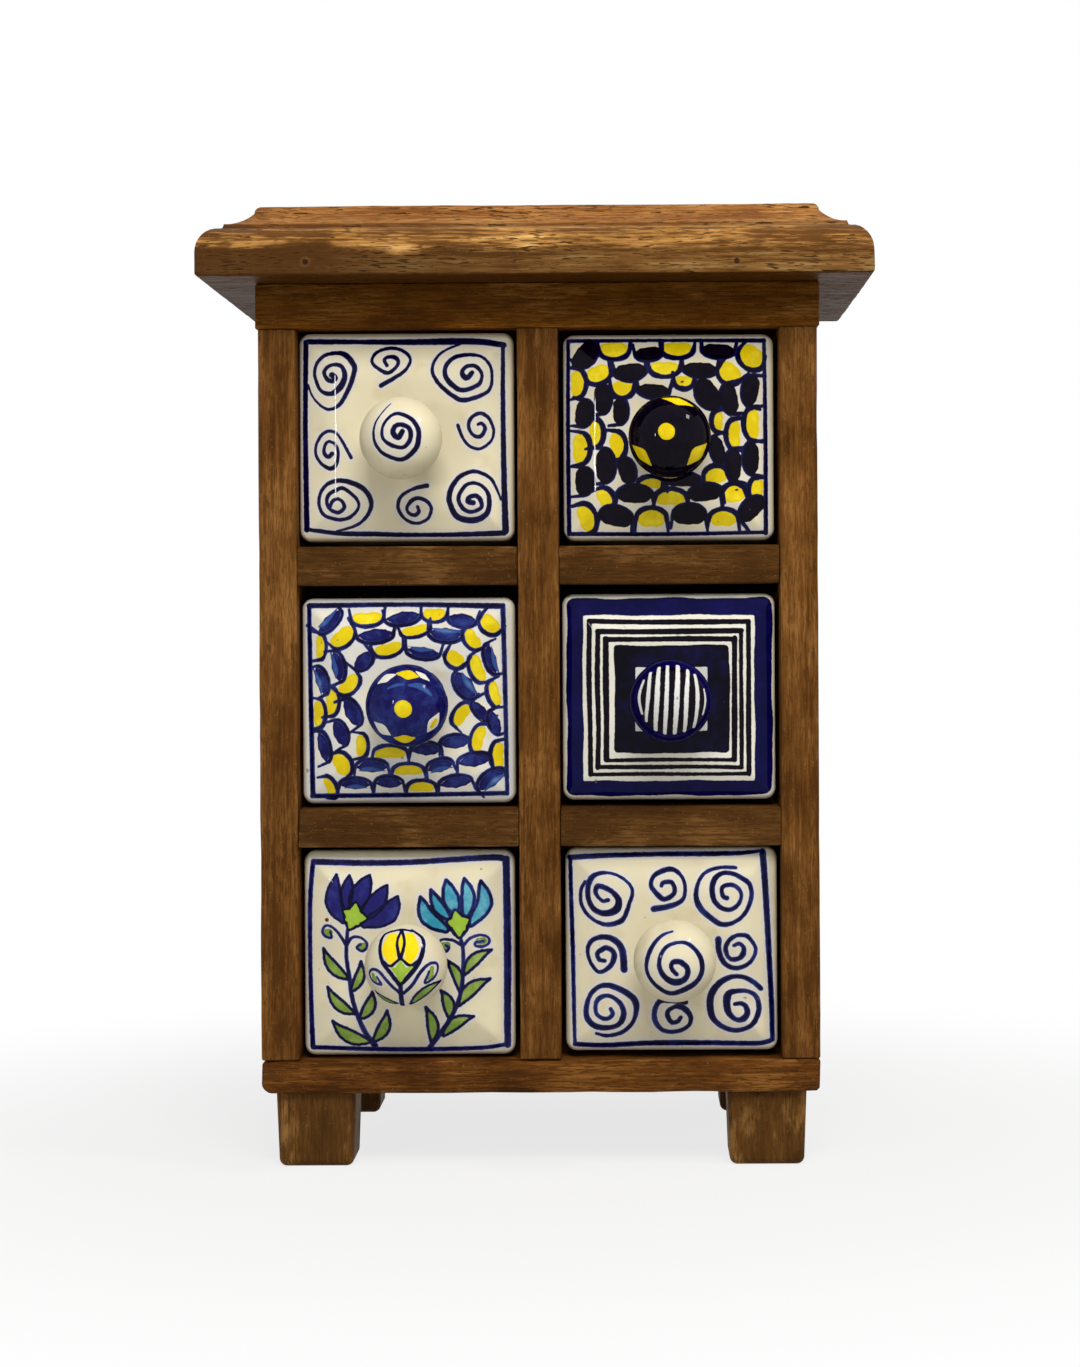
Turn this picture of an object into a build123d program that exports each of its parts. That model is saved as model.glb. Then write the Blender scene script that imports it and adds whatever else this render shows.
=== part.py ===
"""Spice drawer cabinet: a small wooden chest on four block feet, with six ceramic drawers.

The chest is a nailed box of plain boards. A header board and a base board run the full width, the
two sides and a centre divider stand between them, and four shelves carry the drawers in two columns
of three. A moulded top overhangs the front and both sides, a thin panel closes the back, and a block
foot is screwed under each corner. Each drawer is an open ceramic box whose thick front is a cushion
shape, with a round ceramic knob luted on.

Frame: millimetres, +Z up, +X to the right seen from the front, the front faces -Y. The origin is on
the surface that the feet stand on, under the middle of the whole outline.
"""

from build123d import *
import math
import os

# ---------------------------------------------------------------- driving sizes
# Drawer openings, seen from the front
OPENING_W = 66.3
TOP_OPENING_H = 65.4
MIDDLE_OPENING_H = 66.8
BOTTOM_OPENING_H = 64.0

# Carcass boards
SIDE_T = 11.5
DIVIDER_T = 12.4
SHELF_T = 11.8
BASE_T = 10.0
HEADER_T = 13.7
HEADER_PROUD = 0.8  # how far each end of the header stands out past the side under it
BOARD_DEPTH = 110.0
BACK_T = 4.0
ARRIS_R = 0.6  # rounding of every board edge

# Moulded top, its edge section written from the outer face inwards and from the underside up
TOP_T = 23.0
TOP_SIDE_OVERHANG = 16.0
TOP_FRONT_OVERHANG = 19.0
EDGE_FLAT_H = 7.0
OVOLO_W = 6.6
OVOLO_H = 8.0
QUIRK_W = 0.6
QUIRK_H = 1.4
COVE_W = 8.0
COVE_H = 4.2
COVE_SAG = 1.0
NOSE_W = 2.4

# Feet
FOOT_W = 24.0
FOOT_D = 22.0
FOOT_H = 22.5
FOOT_INSET_X = 4.0
FOOT_INSET_Y = 2.6
FOOT_TAPER = 2.0  # degrees drawn in towards the floor
FOOT_ROUND_R = 2.4

# Ceramic drawer
FACE_SIDE_GAP = 1.05  # each side of the face in its opening
FACE_HEAD_GAP = 1.8  # under and over the face together, in the lowest opening
FACE_CORNER_R = 3.4
FACE_RECESS = 5.0  # rim of the face behind the front of the boards
RIM_T = 5.0
CROWN_H = 4.5  # how far the flat field stands in front of the rim
BEVEL_W = 9.2
FIELD_SOFT_R = 12.0
RIM_SOFT_R = 1.2
BOX_SIDE_GAP = 2.65  # each side of the box behind the face
BOX_DROP = 10.2  # how much lower the box is than the face
BOX_WALL = 4.0
BOX_FLOOR = 4.5
BOX_CORNER_R = 5.0
BOX_SOLE_R = 2.5  # rounding along the lower outside edges
BOX_LIP_R = 1.2
SEAT_GAP = 0.3  # running clearance between a drawer and its shelf
BACK_GAP = 0.4  # between a shut drawer and the back panel

# Hand-made differences: each drawer's sideways stand in its opening, how far its face starts above
# the underside of its box, and its knob's place off the middle of the face (right, up)
DRAWER_SHIFT = {
    "top_left": -0.5,
    "top_right": -0.3,
    "middle_left": -0.1,
    "middle_right": -0.3,
    "bottom_left": 0.2,
    "bottom_right": 0.3,
}
FACE_LIFT = {
    "top_left": 0.8,
    "top_right": 0.6,
    "middle_left": 0.6,
    "middle_right": 1.5,
    "bottom_left": 0.4,
    "bottom_right": 0.9,
}
KNOB_SHIFT = {
    "top_left": (-0.2, -0.5),
    "top_right": (0.4, -0.4),
    "middle_left": (0.8, -0.8),
    "middle_right": (0.3, -0.7),
    "bottom_left": (-0.2, -1.6),
    "bottom_right": (0.5, -1.1),
}

# Ceramic knob
KNOB_R = 12.2
KNOB_HALF_LEN = 11.0
NECK_R = 6.2
NECK_H = 3.2
KNOB_FOOT_R = 8.0
TENON_R = 3.0
TENON_L = 4.0

# Fasteners
NAIL_HEAD_R = 1.7
NAIL_HEAD_T = 0.8
NAIL_R = 0.9
NAIL_POINT_L = 2.5
NAIL_BITE = 15.0  # length of a nail in the far board
PIN_HEAD_R = 1.2
PIN_HEAD_T = 0.6
PIN_R = 0.6
PIN_BITE = 10.0
SCREW_HEAD_R = 3.2
SCREW_HEAD_H = 2.4
SCREW_R = 1.6
SCREW_SLOT_W = 0.8
SCREW_SLOT_D = 0.9
TOP_SCREW_BITE = 12.0
FOOT_SCREW_BITE = 7.0
FOOT_BORE_DEPTH = 4.0  # how deep the screw head sits up inside the foot
DOWEL_R = 2.5
DOWEL_BITE = 11.0
FASTENER_SETBACK = 22.0  # from the front or back edge of the boards to a fastener
PIN_SETBACK = 13.0  # from either end of an upright to a back pin

# ---------------------------------------------------------------- derived places
CASE_W = 2 * SIDE_T + 2 * OPENING_W + DIVIDER_T
CASE_DEPTH = BOARD_DEPTH + BACK_T
BASE_Z = FOOT_H
BASE_TOP_Z = BASE_Z + BASE_T
LOWER_SHELF_Z = BASE_TOP_Z + BOTTOM_OPENING_H
UPPER_SHELF_Z = LOWER_SHELF_Z + SHELF_T + MIDDLE_OPENING_H
HEADER_Z = UPPER_SHELF_Z + SHELF_T + TOP_OPENING_H
CASE_TOP_Z = HEADER_Z + HEADER_T
UPRIGHT_H = HEADER_Z - BASE_TOP_Z

BALL_D = NECK_H + KNOB_HALF_LEN * math.sqrt(1 - (NECK_R / KNOB_R) ** 2)
KNOB_LEN = BALL_D + KNOB_HALF_LEN
KNOB_REACH = KNOB_LEN + CROWN_H - FACE_RECESS
FORWARD = max(TOP_FRONT_OVERHANG, KNOB_REACH)
FRONT_Y = FORWARD - (FORWARD + CASE_DEPTH) / 2
BOARD_BACK_Y = FRONT_Y + BOARD_DEPTH
BACK_Y = FRONT_Y + CASE_DEPTH
BOARD_MID_Y = (FRONT_Y + BOARD_BACK_Y) / 2
FASTENER_YS = (FRONT_Y + FASTENER_SETBACK, BOARD_BACK_Y - FASTENER_SETBACK)

COLUMN_X = {"left": -(DIVIDER_T + OPENING_W) / 2, "right": (DIVIDER_T + OPENING_W) / 2}
ROW_Z = {
    "top": UPPER_SHELF_Z + SHELF_T,
    "middle": LOWER_SHELF_Z + SHELF_T,
    "bottom": BASE_TOP_Z,
}
SHELF_Z = {"upper": UPPER_SHELF_Z, "lower": LOWER_SHELF_Z}
SIDE_X = {"left": -(CASE_W - SIDE_T) / 2, "right": (CASE_W - SIDE_T) / 2}
FOOT_X = CASE_W / 2 - FOOT_INSET_X - FOOT_W / 2
FOOT_Y = {
    "front": FRONT_Y + FOOT_INSET_Y + FOOT_D / 2,
    "back": BACK_Y - FOOT_INSET_Y - FOOT_D / 2,
}
FACE_W = OPENING_W - 2 * FACE_SIDE_GAP
FACE_H = min(TOP_OPENING_H, MIDDLE_OPENING_H, BOTTOM_OPENING_H) - FACE_HEAD_GAP
BOX_W = OPENING_W - 2 * BOX_SIDE_GAP
BOX_H = FACE_H - BOX_DROP
DRAWER_LEN = BOARD_DEPTH - FACE_RECESS - BACK_GAP
TOP_SCREW_L = HEADER_T + TOP_SCREW_BITE
FOOT_SCREW_L = FOOT_H - FOOT_BORE_DEPTH + FOOT_SCREW_BITE


# ---------------------------------------------------------------- fasteners
def nail(head_r, head_t, shank_r, length):
    """A nail whose head lies flush with z = 0 and whose shank points down."""
    shank_l = length - NAIL_POINT_L
    head = Pos(0, 0, -head_t / 2) * Cylinder(head_r, head_t)
    shank = Pos(0, 0, -shank_l / 2) * Cylinder(shank_r, shank_l)
    point = Pos(0, 0, -shank_l - NAIL_POINT_L / 2) * Cone(shank_r / 4, shank_r, NAIL_POINT_L)
    return head + shank + point


def wood_screw(length):
    """A slotted countersunk screw whose head lies flush with z = 0 and whose shank points down."""
    head = Pos(0, 0, -SCREW_HEAD_H / 2) * Cone(SCREW_R, SCREW_HEAD_R, SCREW_HEAD_H)
    shank = Pos(0, 0, -length / 2) * Cylinder(SCREW_R, length)
    slot = Pos(0, 0, -SCREW_SLOT_D / 2) * Box(2 * SCREW_HEAD_R, SCREW_SLOT_W, SCREW_SLOT_D)
    return head + shank - slot


def screw_seat(length):
    """What a screw takes out of the boards: the same shape without its slot."""
    head = Pos(0, 0, -SCREW_HEAD_H / 2) * Cone(SCREW_R, SCREW_HEAD_R, SCREW_HEAD_H)
    return head + Pos(0, 0, -length / 2) * Cylinder(SCREW_R, length)


def placed(shape, places):
    """One copy of a shape at each place, as separate solids."""
    return [place * shape for place in places]


def header_nails():
    """Down through the header into both sides and the divider, heads under the moulded top."""
    one = nail(NAIL_HEAD_R, NAIL_HEAD_T, NAIL_R, HEADER_T + NAIL_BITE)
    xs = (SIDE_X["left"], 0, SIDE_X["right"])
    return placed(one, [Pos(x, y, CASE_TOP_Z) for x in xs for y in FASTENER_YS])


def base_nails():
    """Up through the base into both sides and the divider."""
    one = Rot(180, 0, 0) * nail(NAIL_HEAD_R, NAIL_HEAD_T, NAIL_R, BASE_T + NAIL_BITE)
    xs = (SIDE_X["left"], 0, SIDE_X["right"])
    return placed(one, [Pos(x, y, BASE_Z) for x in xs for y in FASTENER_YS])


def shelf_nails(side):
    """In through one side into the ends of its two shelves."""
    outward = -1 if side == "left" else 1
    one = Rot(0, 90 * outward, 0) * nail(NAIL_HEAD_R, NAIL_HEAD_T, NAIL_R, SIDE_T + NAIL_BITE)
    zs = [z + SHELF_T / 2 for z in SHELF_Z.values()]
    return placed(one, [Pos(outward * CASE_W / 2, y, z) for z in zs for y in FASTENER_YS])


def shelf_dowels():
    """Wooden pegs through the divider into the inner ends of the shelves."""
    one = Rot(0, 90, 0) * Cylinder(DOWEL_R, DIVIDER_T + 2 * DOWEL_BITE)
    zs = [z + SHELF_T / 2 for z in SHELF_Z.values()]
    return placed(one, [Pos(0, y, z) for z in zs for y in FASTENER_YS])


def back_pins():
    """Small pins round the edge of the back panel and up the divider."""
    one = Rot(-90, 0, 0) * nail(PIN_HEAD_R, PIN_HEAD_T, PIN_R, BACK_T + PIN_BITE)
    heights = (PIN_SETBACK, UPRIGHT_H / 2, UPRIGHT_H - PIN_SETBACK)
    xs = (SIDE_X["left"], 0, SIDE_X["right"])
    uprights = [(x, BASE_TOP_Z + height) for x in xs for height in heights]
    rails = [(x, z) for x in COLUMN_X.values() for z in (BASE_Z + BASE_T / 2, HEADER_Z + HEADER_T / 2)]
    return placed(one, [Pos(x, BACK_Y, z) for x, z in uprights + rails])


def top_screw_places():
    """Up from the two top openings through the header into the moulded top."""
    return [Pos(x, y, HEADER_Z) * Rot(180, 0, 0) for x in COLUMN_X.values() for y in FASTENER_YS]


def foot_screw_places():
    """Up from the bores in the feet into the base."""
    xs = (-FOOT_X, FOOT_X)
    return [Pos(x, y, FOOT_BORE_DEPTH) * Rot(180, 0, 0) for x in xs for y in FOOT_Y.values()]


# ---------------------------------------------------------------- wooden pieces
def board(x_size, y_size, z_size):
    """A plain board with softened edges, centred in x and y and standing on z = 0."""
    blank = Pos(0, 0, z_size / 2) * Box(x_size, y_size, z_size)
    return fillet(blank.edges(), ARRIS_R)


def cut(piece, holes):
    for hole in holes:
        piece = piece - hole
    return piece


def moulded_section(run):
    """Cross-section of the top from its outer face inwards by run: inset along X, height along Y."""
    ovolo_top = EDGE_FLAT_H + OVOLO_H
    quirk = OVOLO_W + QUIRK_W
    cove_foot = ovolo_top + QUIRK_H
    cove_head = cove_foot + COVE_H
    cove_end = quirk + COVE_W
    nose_end = cove_end + NOSE_W
    chord = math.hypot(COVE_W, COVE_H)
    cove_mid = (
        quirk + COVE_W / 2 + COVE_SAG * COVE_H / chord,
        cove_foot + COVE_H / 2 - COVE_SAG * COVE_W / chord,
    )
    edges = [
        Line((0, 0), (0, EDGE_FLAT_H)),
        EllipticalCenterArc((OVOLO_W, EDGE_FLAT_H), OVOLO_W, OVOLO_H, 180, arc_size=-90),
        Line((OVOLO_W, ovolo_top), (quirk, ovolo_top)),
        Line((quirk, ovolo_top), (quirk, cove_foot)),
        ThreePointArc((quirk, cove_foot), cove_mid, (cove_end, cove_head)),
        EllipticalCenterArc((nose_end, cove_head), NOSE_W, TOP_T - cove_head, 180, arc_size=-90),
        Line((nose_end, TOP_T), (run, TOP_T)),
        Line((run, TOP_T), (run, 0)),
        Line((run, 0), (0, 0)),
    ]
    return make_face(edges)


def moulded_top():
    """Both side sections run front to back and the front section runs across: they meet in mitres."""
    half_w = CASE_W / 2 + TOP_SIDE_OVERHANG
    depth = CASE_DEPTH + TOP_FRONT_OVERHANG
    left_half = extrude(Rot(90, 0, 0) * moulded_section(half_w), depth, dir=(0, 1, 0))
    left_half = Pos(-half_w, 0, 0) * left_half
    across = left_half + mirror(left_half, Plane.YZ)
    front_section = Pos(-half_w, 0, 0) * Rot(0, 0, 90) * Rot(90, 0, 0) * moulded_section(depth)
    fore_and_aft = extrude(front_section, 2 * half_w, dir=(1, 0, 0))
    top = Pos(0, FRONT_Y - TOP_FRONT_OVERHANG, CASE_TOP_Z) * (across & fore_and_aft)
    return cut(top, placed(screw_seat(TOP_SCREW_L), top_screw_places()))


def header_board():
    blank = Pos(0, BOARD_MID_Y, HEADER_Z) * board(CASE_W + 2 * HEADER_PROUD, BOARD_DEPTH, HEADER_T)
    seats = placed(screw_seat(TOP_SCREW_L), top_screw_places())
    return cut(blank, header_nails() + seats + back_pins())


def base_board():
    blank = Pos(0, BOARD_MID_Y, BASE_Z) * board(CASE_W, BOARD_DEPTH, BASE_T)
    seats = placed(screw_seat(FOOT_SCREW_L), foot_screw_places())
    return cut(blank, base_nails() + seats + back_pins())


def side_board(side):
    blank = Pos(SIDE_X[side], BOARD_MID_Y, BASE_TOP_Z) * board(SIDE_T, BOARD_DEPTH, UPRIGHT_H)
    return cut(blank, header_nails() + base_nails() + shelf_nails(side) + back_pins())


def centre_divider():
    blank = Pos(0, BOARD_MID_Y, BASE_TOP_Z) * board(DIVIDER_T, BOARD_DEPTH, UPRIGHT_H)
    return cut(blank, header_nails() + base_nails() + shelf_dowels() + back_pins())


def shelf(level, side):
    blank = Pos(COLUMN_X[side], BOARD_MID_Y, SHELF_Z[level]) * board(OPENING_W, BOARD_DEPTH, SHELF_T)
    return cut(blank, shelf_nails(side) + shelf_dowels())


def back_panel():
    blank = Pos(0, BACK_Y - BACK_T / 2, BASE_Z) * board(CASE_W, BACK_T, CASE_TOP_Z - BASE_Z)
    return cut(blank, back_pins())


def foot(end, side):
    """A block drawn in a little towards the floor, bored from below for its screw."""
    outline = Pos(0, 0, FOOT_H) * Rectangle(FOOT_W, FOOT_D)
    block = extrude(outline, FOOT_H, dir=(0, 0, -1), taper=FOOT_TAPER)
    block = fillet(block.edges() - block.edges().group_by(Axis.Z)[-1], FOOT_ROUND_R)
    bore = Pos(0, 0, FOOT_BORE_DEPTH / 2) * Cylinder(SCREW_HEAD_R, FOOT_BORE_DEPTH)
    seat = Pos(0, 0, FOOT_BORE_DEPTH) * Rot(180, 0, 0) * screw_seat(FOOT_SCREW_L)
    x = -FOOT_X if side == "left" else FOOT_X
    return Pos(x, FOOT_Y[end], 0) * (block - bore - seat)


# ---------------------------------------------------------------- ceramic pieces
def cushion_front():
    """The drawer's thick front: rim plane on z = 0, crown towards +Z, centred in x and y."""
    slope = math.degrees(math.atan2(BEVEL_W, CROWN_H))
    crown = extrude(Rectangle(FACE_W, FACE_H), CROWN_H, taper=slope)
    crown = fillet(crown.edges().group_by(Axis.Z)[-1], FIELD_SOFT_R)
    wall = extrude(Rectangle(FACE_W, FACE_H), -RIM_T)
    outline = Pos(0, 0, -RIM_T) * RectangleRounded(FACE_W, FACE_H, FACE_CORNER_R)
    front = (crown + wall) & extrude(outline, RIM_T + CROWN_H)
    rim = front.edges().filter_by(lambda edge: abs(edge.center().Z) < CROWN_H / 4)
    return fillet(rim, RIM_SOFT_R)


def drawer_box():
    """The open box behind the front, its front end at y = 0 and its underside on z = 0."""
    length = DRAWER_LEN - RIM_T
    outer = Pos(0, length / 2, BOX_H / 2) * Box(BOX_W, length, BOX_H)
    back_corners = outer.edges().filter_by(Axis.Z).group_by(Axis.Y)[-1]
    outer = fillet(back_corners, BOX_CORNER_R)
    sole = outer.edges().group_by(Axis.Z)[0].filter_by(lambda edge: edge.center().Y > BOX_WALL)
    outer = fillet(sole, BOX_SOLE_R)
    hollow_l = length - BOX_WALL
    hollow = Pos(0, hollow_l / 2, BOX_FLOOR + BOX_H / 2) * Box(BOX_W - 2 * BOX_WALL, hollow_l, BOX_H)
    hollow = fillet(hollow.edges().filter_by(Axis.Z), BOX_CORNER_R - BOX_WALL / 2)
    hollow = fillet(hollow.edges().group_by(Axis.Z)[0], BOX_SOLE_R)
    box = outer - hollow
    lip = box.edges().group_by(Axis.Z)[-1].filter_by(lambda edge: edge.center().Y > BOX_WALL)
    return fillet(lip, BOX_LIP_R)


def knob():
    """A ball on a short flared neck, its foot on z = 0, with a tenon below for the luted joint."""
    neck_angle = math.degrees(math.acos(NECK_R / KNOB_R))
    arc = EllipticalCenterArc((0, BALL_D), KNOB_R, KNOB_HALF_LEN, -neck_angle, arc_size=90 + neck_angle)
    ball = make_face([arc, Line(arc @ 1, (0, NECK_H)), Line((0, NECK_H), arc @ 0)])
    flare_mid = ((3 * NECK_R + KNOB_FOOT_R) / 4, NECK_H / 3)
    neck = make_face(
        [
            ThreePointArc((KNOB_FOOT_R, 0), flare_mid, (NECK_R, NECK_H)),
            Line((NECK_R, NECK_H), (0, NECK_H)),
            Line((0, NECK_H), (0, 0)),
            Line((0, 0), (KNOB_FOOT_R, 0)),
        ]
    )
    turned = [revolve(Rot(90, 0, 0) * half, Axis.Z) for half in (ball, neck)]
    return turned[0] + turned[1] + Pos(0, 0, -TENON_L / 2) * Cylinder(TENON_R, TENON_L)


def face_place(row, side):
    """Middle of a drawer's rim plane: local +Z points out of the cabinet."""
    name = f"{row}_{side}"
    x = COLUMN_X[side] + DRAWER_SHIFT[name]
    z = ROW_Z[row] + SEAT_GAP + FACE_LIFT[name] + FACE_H / 2
    return Pos(x, FRONT_Y + FACE_RECESS, z) * Rot(90, 0, 0)


def placed_knob(row, side):
    right, up = KNOB_SHIFT[f"{row}_{side}"]
    return face_place(row, side) * Pos(right, up, CROWN_H) * knob()


def drawer(row, side):
    front = face_place(row, side) * cushion_front()
    box_x = COLUMN_X[side] + DRAWER_SHIFT[f"{row}_{side}"]
    box = Pos(box_x, FRONT_Y + FACE_RECESS + RIM_T, ROW_Z[row] + SEAT_GAP) * drawer_box()
    return front + box - placed_knob(row, side)


# ---------------------------------------------------------------- writing the pieces
def write(name, shapes):
    shapes = shapes if isinstance(shapes, list) else [shapes]
    solids = [solid for shape in shapes for solid in shape.solids()]
    whole = solids[0] if len(solids) == 1 else Compound(children=solids)
    export_step(whole, os.path.join("parts", name + ".step"))


def main():
    os.makedirs("parts", exist_ok=True)
    write("moulded_top", moulded_top())
    write("header_board", header_board())
    write("base_board", base_board())
    write("centre_divider", centre_divider())
    write("back_panel", back_panel())
    for side in COLUMN_X:
        write(f"side_{side}", side_board(side))
        write(f"shelf_nails_{side}", shelf_nails(side))
        for level in SHELF_Z:
            write(f"shelf_{level}_{side}", shelf(level, side))
        for end in FOOT_Y:
            write(f"foot_{end}_{side}", foot(end, side))
        for row in ROW_Z:
            write(f"drawer_{row}_{side}", drawer(row, side))
            write(f"knob_{row}_{side}", placed_knob(row, side))
    write("header_nails", header_nails())
    write("base_nails", base_nails())
    write("shelf_dowels", shelf_dowels())
    write("back_pins", back_pins())
    write("top_screws", placed(wood_screw(TOP_SCREW_L), top_screw_places()))
    write("foot_screws", placed(wood_screw(FOOT_SCREW_L), foot_screw_places()))


main()
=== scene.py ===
"""A waxed wooden tabletop chest with six hand-painted glazed spice drawers.

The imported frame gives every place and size. This script dresses it: moulded and worn boards,
pillow-shaped pottery fronts with round knobs, brushed patterns under a clear glaze, and a white room.
"""

import math

import bmesh
import bpy
import numpy as np
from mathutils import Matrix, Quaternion, Vector, noise


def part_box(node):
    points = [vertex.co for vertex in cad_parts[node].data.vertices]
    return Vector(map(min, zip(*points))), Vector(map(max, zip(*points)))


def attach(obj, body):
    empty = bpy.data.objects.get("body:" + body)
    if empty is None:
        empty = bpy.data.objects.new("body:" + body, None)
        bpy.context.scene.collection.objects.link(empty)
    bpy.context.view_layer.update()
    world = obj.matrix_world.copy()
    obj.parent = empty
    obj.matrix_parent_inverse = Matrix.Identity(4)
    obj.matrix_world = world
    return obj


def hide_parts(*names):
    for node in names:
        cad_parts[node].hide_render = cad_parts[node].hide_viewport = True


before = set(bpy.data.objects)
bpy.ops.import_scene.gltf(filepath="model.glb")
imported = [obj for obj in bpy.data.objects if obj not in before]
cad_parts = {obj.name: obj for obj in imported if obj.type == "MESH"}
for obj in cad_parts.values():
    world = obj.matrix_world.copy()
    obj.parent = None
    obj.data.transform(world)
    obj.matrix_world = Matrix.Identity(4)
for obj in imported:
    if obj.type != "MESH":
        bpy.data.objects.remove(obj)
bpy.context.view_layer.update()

MM = 0.001
ROWS = ("top", "middle", "bottom")
SIDES = ("left", "right")
DRAWERS = [f"{row}_{side}" for row in ROWS for side in SIDES]


# ------------------------------------------------------------------ shader writing


def seen(red, green, blue):
    """A colour given as it looks on a screen, turned into the linear colour a shader takes."""
    linear = []
    for value in (red, green, blue):
        part = value / 255
        linear.append(part / 12.92 if part < 0.04045 else ((part + 0.055) / 1.055) ** 2.4)
    return (*linear, 1.0)


class Wire:
    """A socket of a material. Arithmetic on it adds Math nodes to the same material."""

    def __init__(self, tree, socket=None):
        self.tree = tree
        self.socket = socket

    def node(self, kind, settings=None, sockets=None, out=0):
        """Adds a node: its settings first, then the values or links of its sockets."""
        made = self.tree.nodes.new(kind)
        for name, value in (settings or {}).items():
            setattr(made, name, value)
        for name, value in (sockets or {}).items():
            if isinstance(value, Wire):
                self.tree.links.new(value.socket, made.inputs[name])
            else:
                made.inputs[name].default_value = value
        return Wire(self.tree, made.outputs[out] if made.outputs else None)

    def reckon(self, operation, first, second, clamp=False):
        """One Math node on two values."""
        settings = {"operation": operation, "use_clamp": clamp}
        return self.node("ShaderNodeMath", settings, {0: first, 1: second})

    def __add__(self, other):
        return self.reckon("ADD", self, other)

    def __radd__(self, other):
        return self.reckon("ADD", other, self)

    def __sub__(self, other):
        return self.reckon("SUBTRACT", self, other)

    def __mul__(self, other):
        return self.reckon("MULTIPLY", self, other)

    def held(self):
        """The same value kept between 0 and 1."""
        return self.reckon("ADD", self, 0.0, clamp=True)

    def ramp(self, low, high, start=0.0, end=1.0):
        """Runs smoothly from start to end while the value runs from low to high."""
        sockets = {0: self, 1: low, 2: high, 3: start, 4: end}
        return self.node("ShaderNodeMapRange", {"interpolation_type": "SMOOTHSTEP"}, sockets)

    def tint(self, amount, under, over):
        """Lays the colour over on the colour under, as much as amount says."""
        return self.node("ShaderNodeMix", {"data_type": "RGBA"}, {0: amount, 6: under, 7: over}, out=2)

    def place(self):
        """The point of the piece, in metres, in the frame of the whole object."""
        return self.node("ShaderNodeTexCoord", out=3)

    def stretched(self, scale, shift=(0.0, 0.0, 0.0)):
        """The piece's own point, scaled by axis and moved, for a texture with a direction."""
        return self.node("ShaderNodeMapping", {"vector_type": "POINT"}, {0: self.place(), 1: shift, 3: scale})

    def evenly(self, waves, shift=(0.0, 0.0, 0.0)):
        """The piece's own point, with the same number of waves a metre every way."""
        return self.stretched((waves, waves, waves), shift)

    def grainy(self, vector, detail=2.0, rough=0.5, distortion=0.0):
        """Soft noise from 0 to 1 at a stretched point."""
        sockets = {"Vector": vector, "Scale": 1.0, "Detail": detail, "Roughness": rough, "Distortion": distortion}
        return self.node("ShaderNodeTexNoise", None, sockets)

    def painted(self, name):
        """A value laid down on the mesh, such as the distance from a brush stroke."""
        return self.node("ShaderNodeAttribute", {"attribute_name": name}, out=2)

    def bumped(self, height, distance, strength=1.0):
        """A normal that follows a height; distance is how far it stands out, in metres."""
        return self.node("ShaderNodeBump", None, {"Strength": strength, "Distance": distance, "Height": height})


def open_finish(name):
    """A new material and an empty wire in it."""
    material = bpy.data.materials.new(name)
    material.use_nodes = True
    material.node_tree.nodes.clear()
    return material, Wire(material.node_tree)


def close_finish(wire, sockets):
    """Ends a material in one Principled shader with these values and links."""
    shader = wire.node("ShaderNodeBsdfPrincipled", None, sockets)
    wire.node("ShaderNodeOutputMaterial", None, {"Surface": shader})


# ------------------------------------------------------------------ finishes


WORN_EDGE = seen(168, 122, 70)
LINT = seen(176, 140, 96)
RUST_SPOTS = seen(92, 74, 58)


def faded(colour, share):
    """A darker make of the same colour."""
    return tuple(value * share for value in colour[:3]) + (1.0,)


def wood(name, tones, along, shift=0.0, pores=0.5, clouds=0.5, detailing=None):
    """Waxed open-grained wood. tones run light, middle, dark, as seen; along is the axis of the grain."""
    light, middle, dark = (seen(*tone) for tone in tones)
    material, w = open_finish(name)
    axis = "XYZ".index(along)

    def drawn_out(run, across, offset):
        """The piece's own point, with run waves a metre along the grain and across waves over it."""
        scale = [across] * 3
        scale[axis] = run
        return w.stretched(scale, (shift + offset, shift * 0.7 - offset, shift * 1.3 + offset))

    figure = w.grainy(drawn_out(10.0, 130.0, 0.3), detail=3.0, rough=0.55, distortion=0.5)
    fibre = w.grainy(drawn_out(60.0, 1150.0, 1.7), detail=3.0, rough=0.65)
    cloud = w.grainy(drawn_out(38.0, 75.0, 2.9), detail=4.0, rough=0.62)
    dash = w.grainy(drawn_out(250.0, 2100.0, 3.1), detail=1.0, rough=0.5)
    lint = w.grainy(w.evenly(1500.0, (shift, 0.4, 2.0)), detail=1.0)
    body = figure * 0.34 + fibre * 0.46 + cloud * (0.6 * clouds)
    level = 0.40 + 0.3 * clouds
    colour = w.tint(body.ramp(level - 0.095, level + 0.02), dark, middle)
    colour = w.tint(body.ramp(level + 0.005, level + 0.13), colour, light)
    if detailing:
        colour = detailing(w, colour, cloud, fibre)
    pore = dash.ramp(0.45, 0.35) * (cloud * 0.5 + fibre * 0.7).ramp(0.50, 0.68)
    colour = w.tint(pore * pores, colour, faded(dark, 0.30))
    soil = cloud.ramp(0.44, 0.30) * 0.38
    colour = w.tint(soil, colour, faded(dark, 0.45))
    worn = w.painted("arris").ramp(0.85, 0.15) * cloud.ramp(0.50, 0.64) * fibre.ramp(0.40, 0.55)
    colour = w.tint(worn * 0.55, colour, WORN_EDGE)
    colour = w.tint(lint.ramp(0.70, 0.76) * 0.20, colour, LINT)
    close_finish(w, {
        "Base Color": colour,
        "Roughness": fibre.ramp(0.3, 0.7, 0.40, 0.62) + pore * 0.2,
        "Specular IOR Level": 0.05,
        "Normal": w.bumped(fibre * 0.9 + cloud * 0.5 - pore * 1.3, 0.00022, 0.8),
    })
    return material


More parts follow.
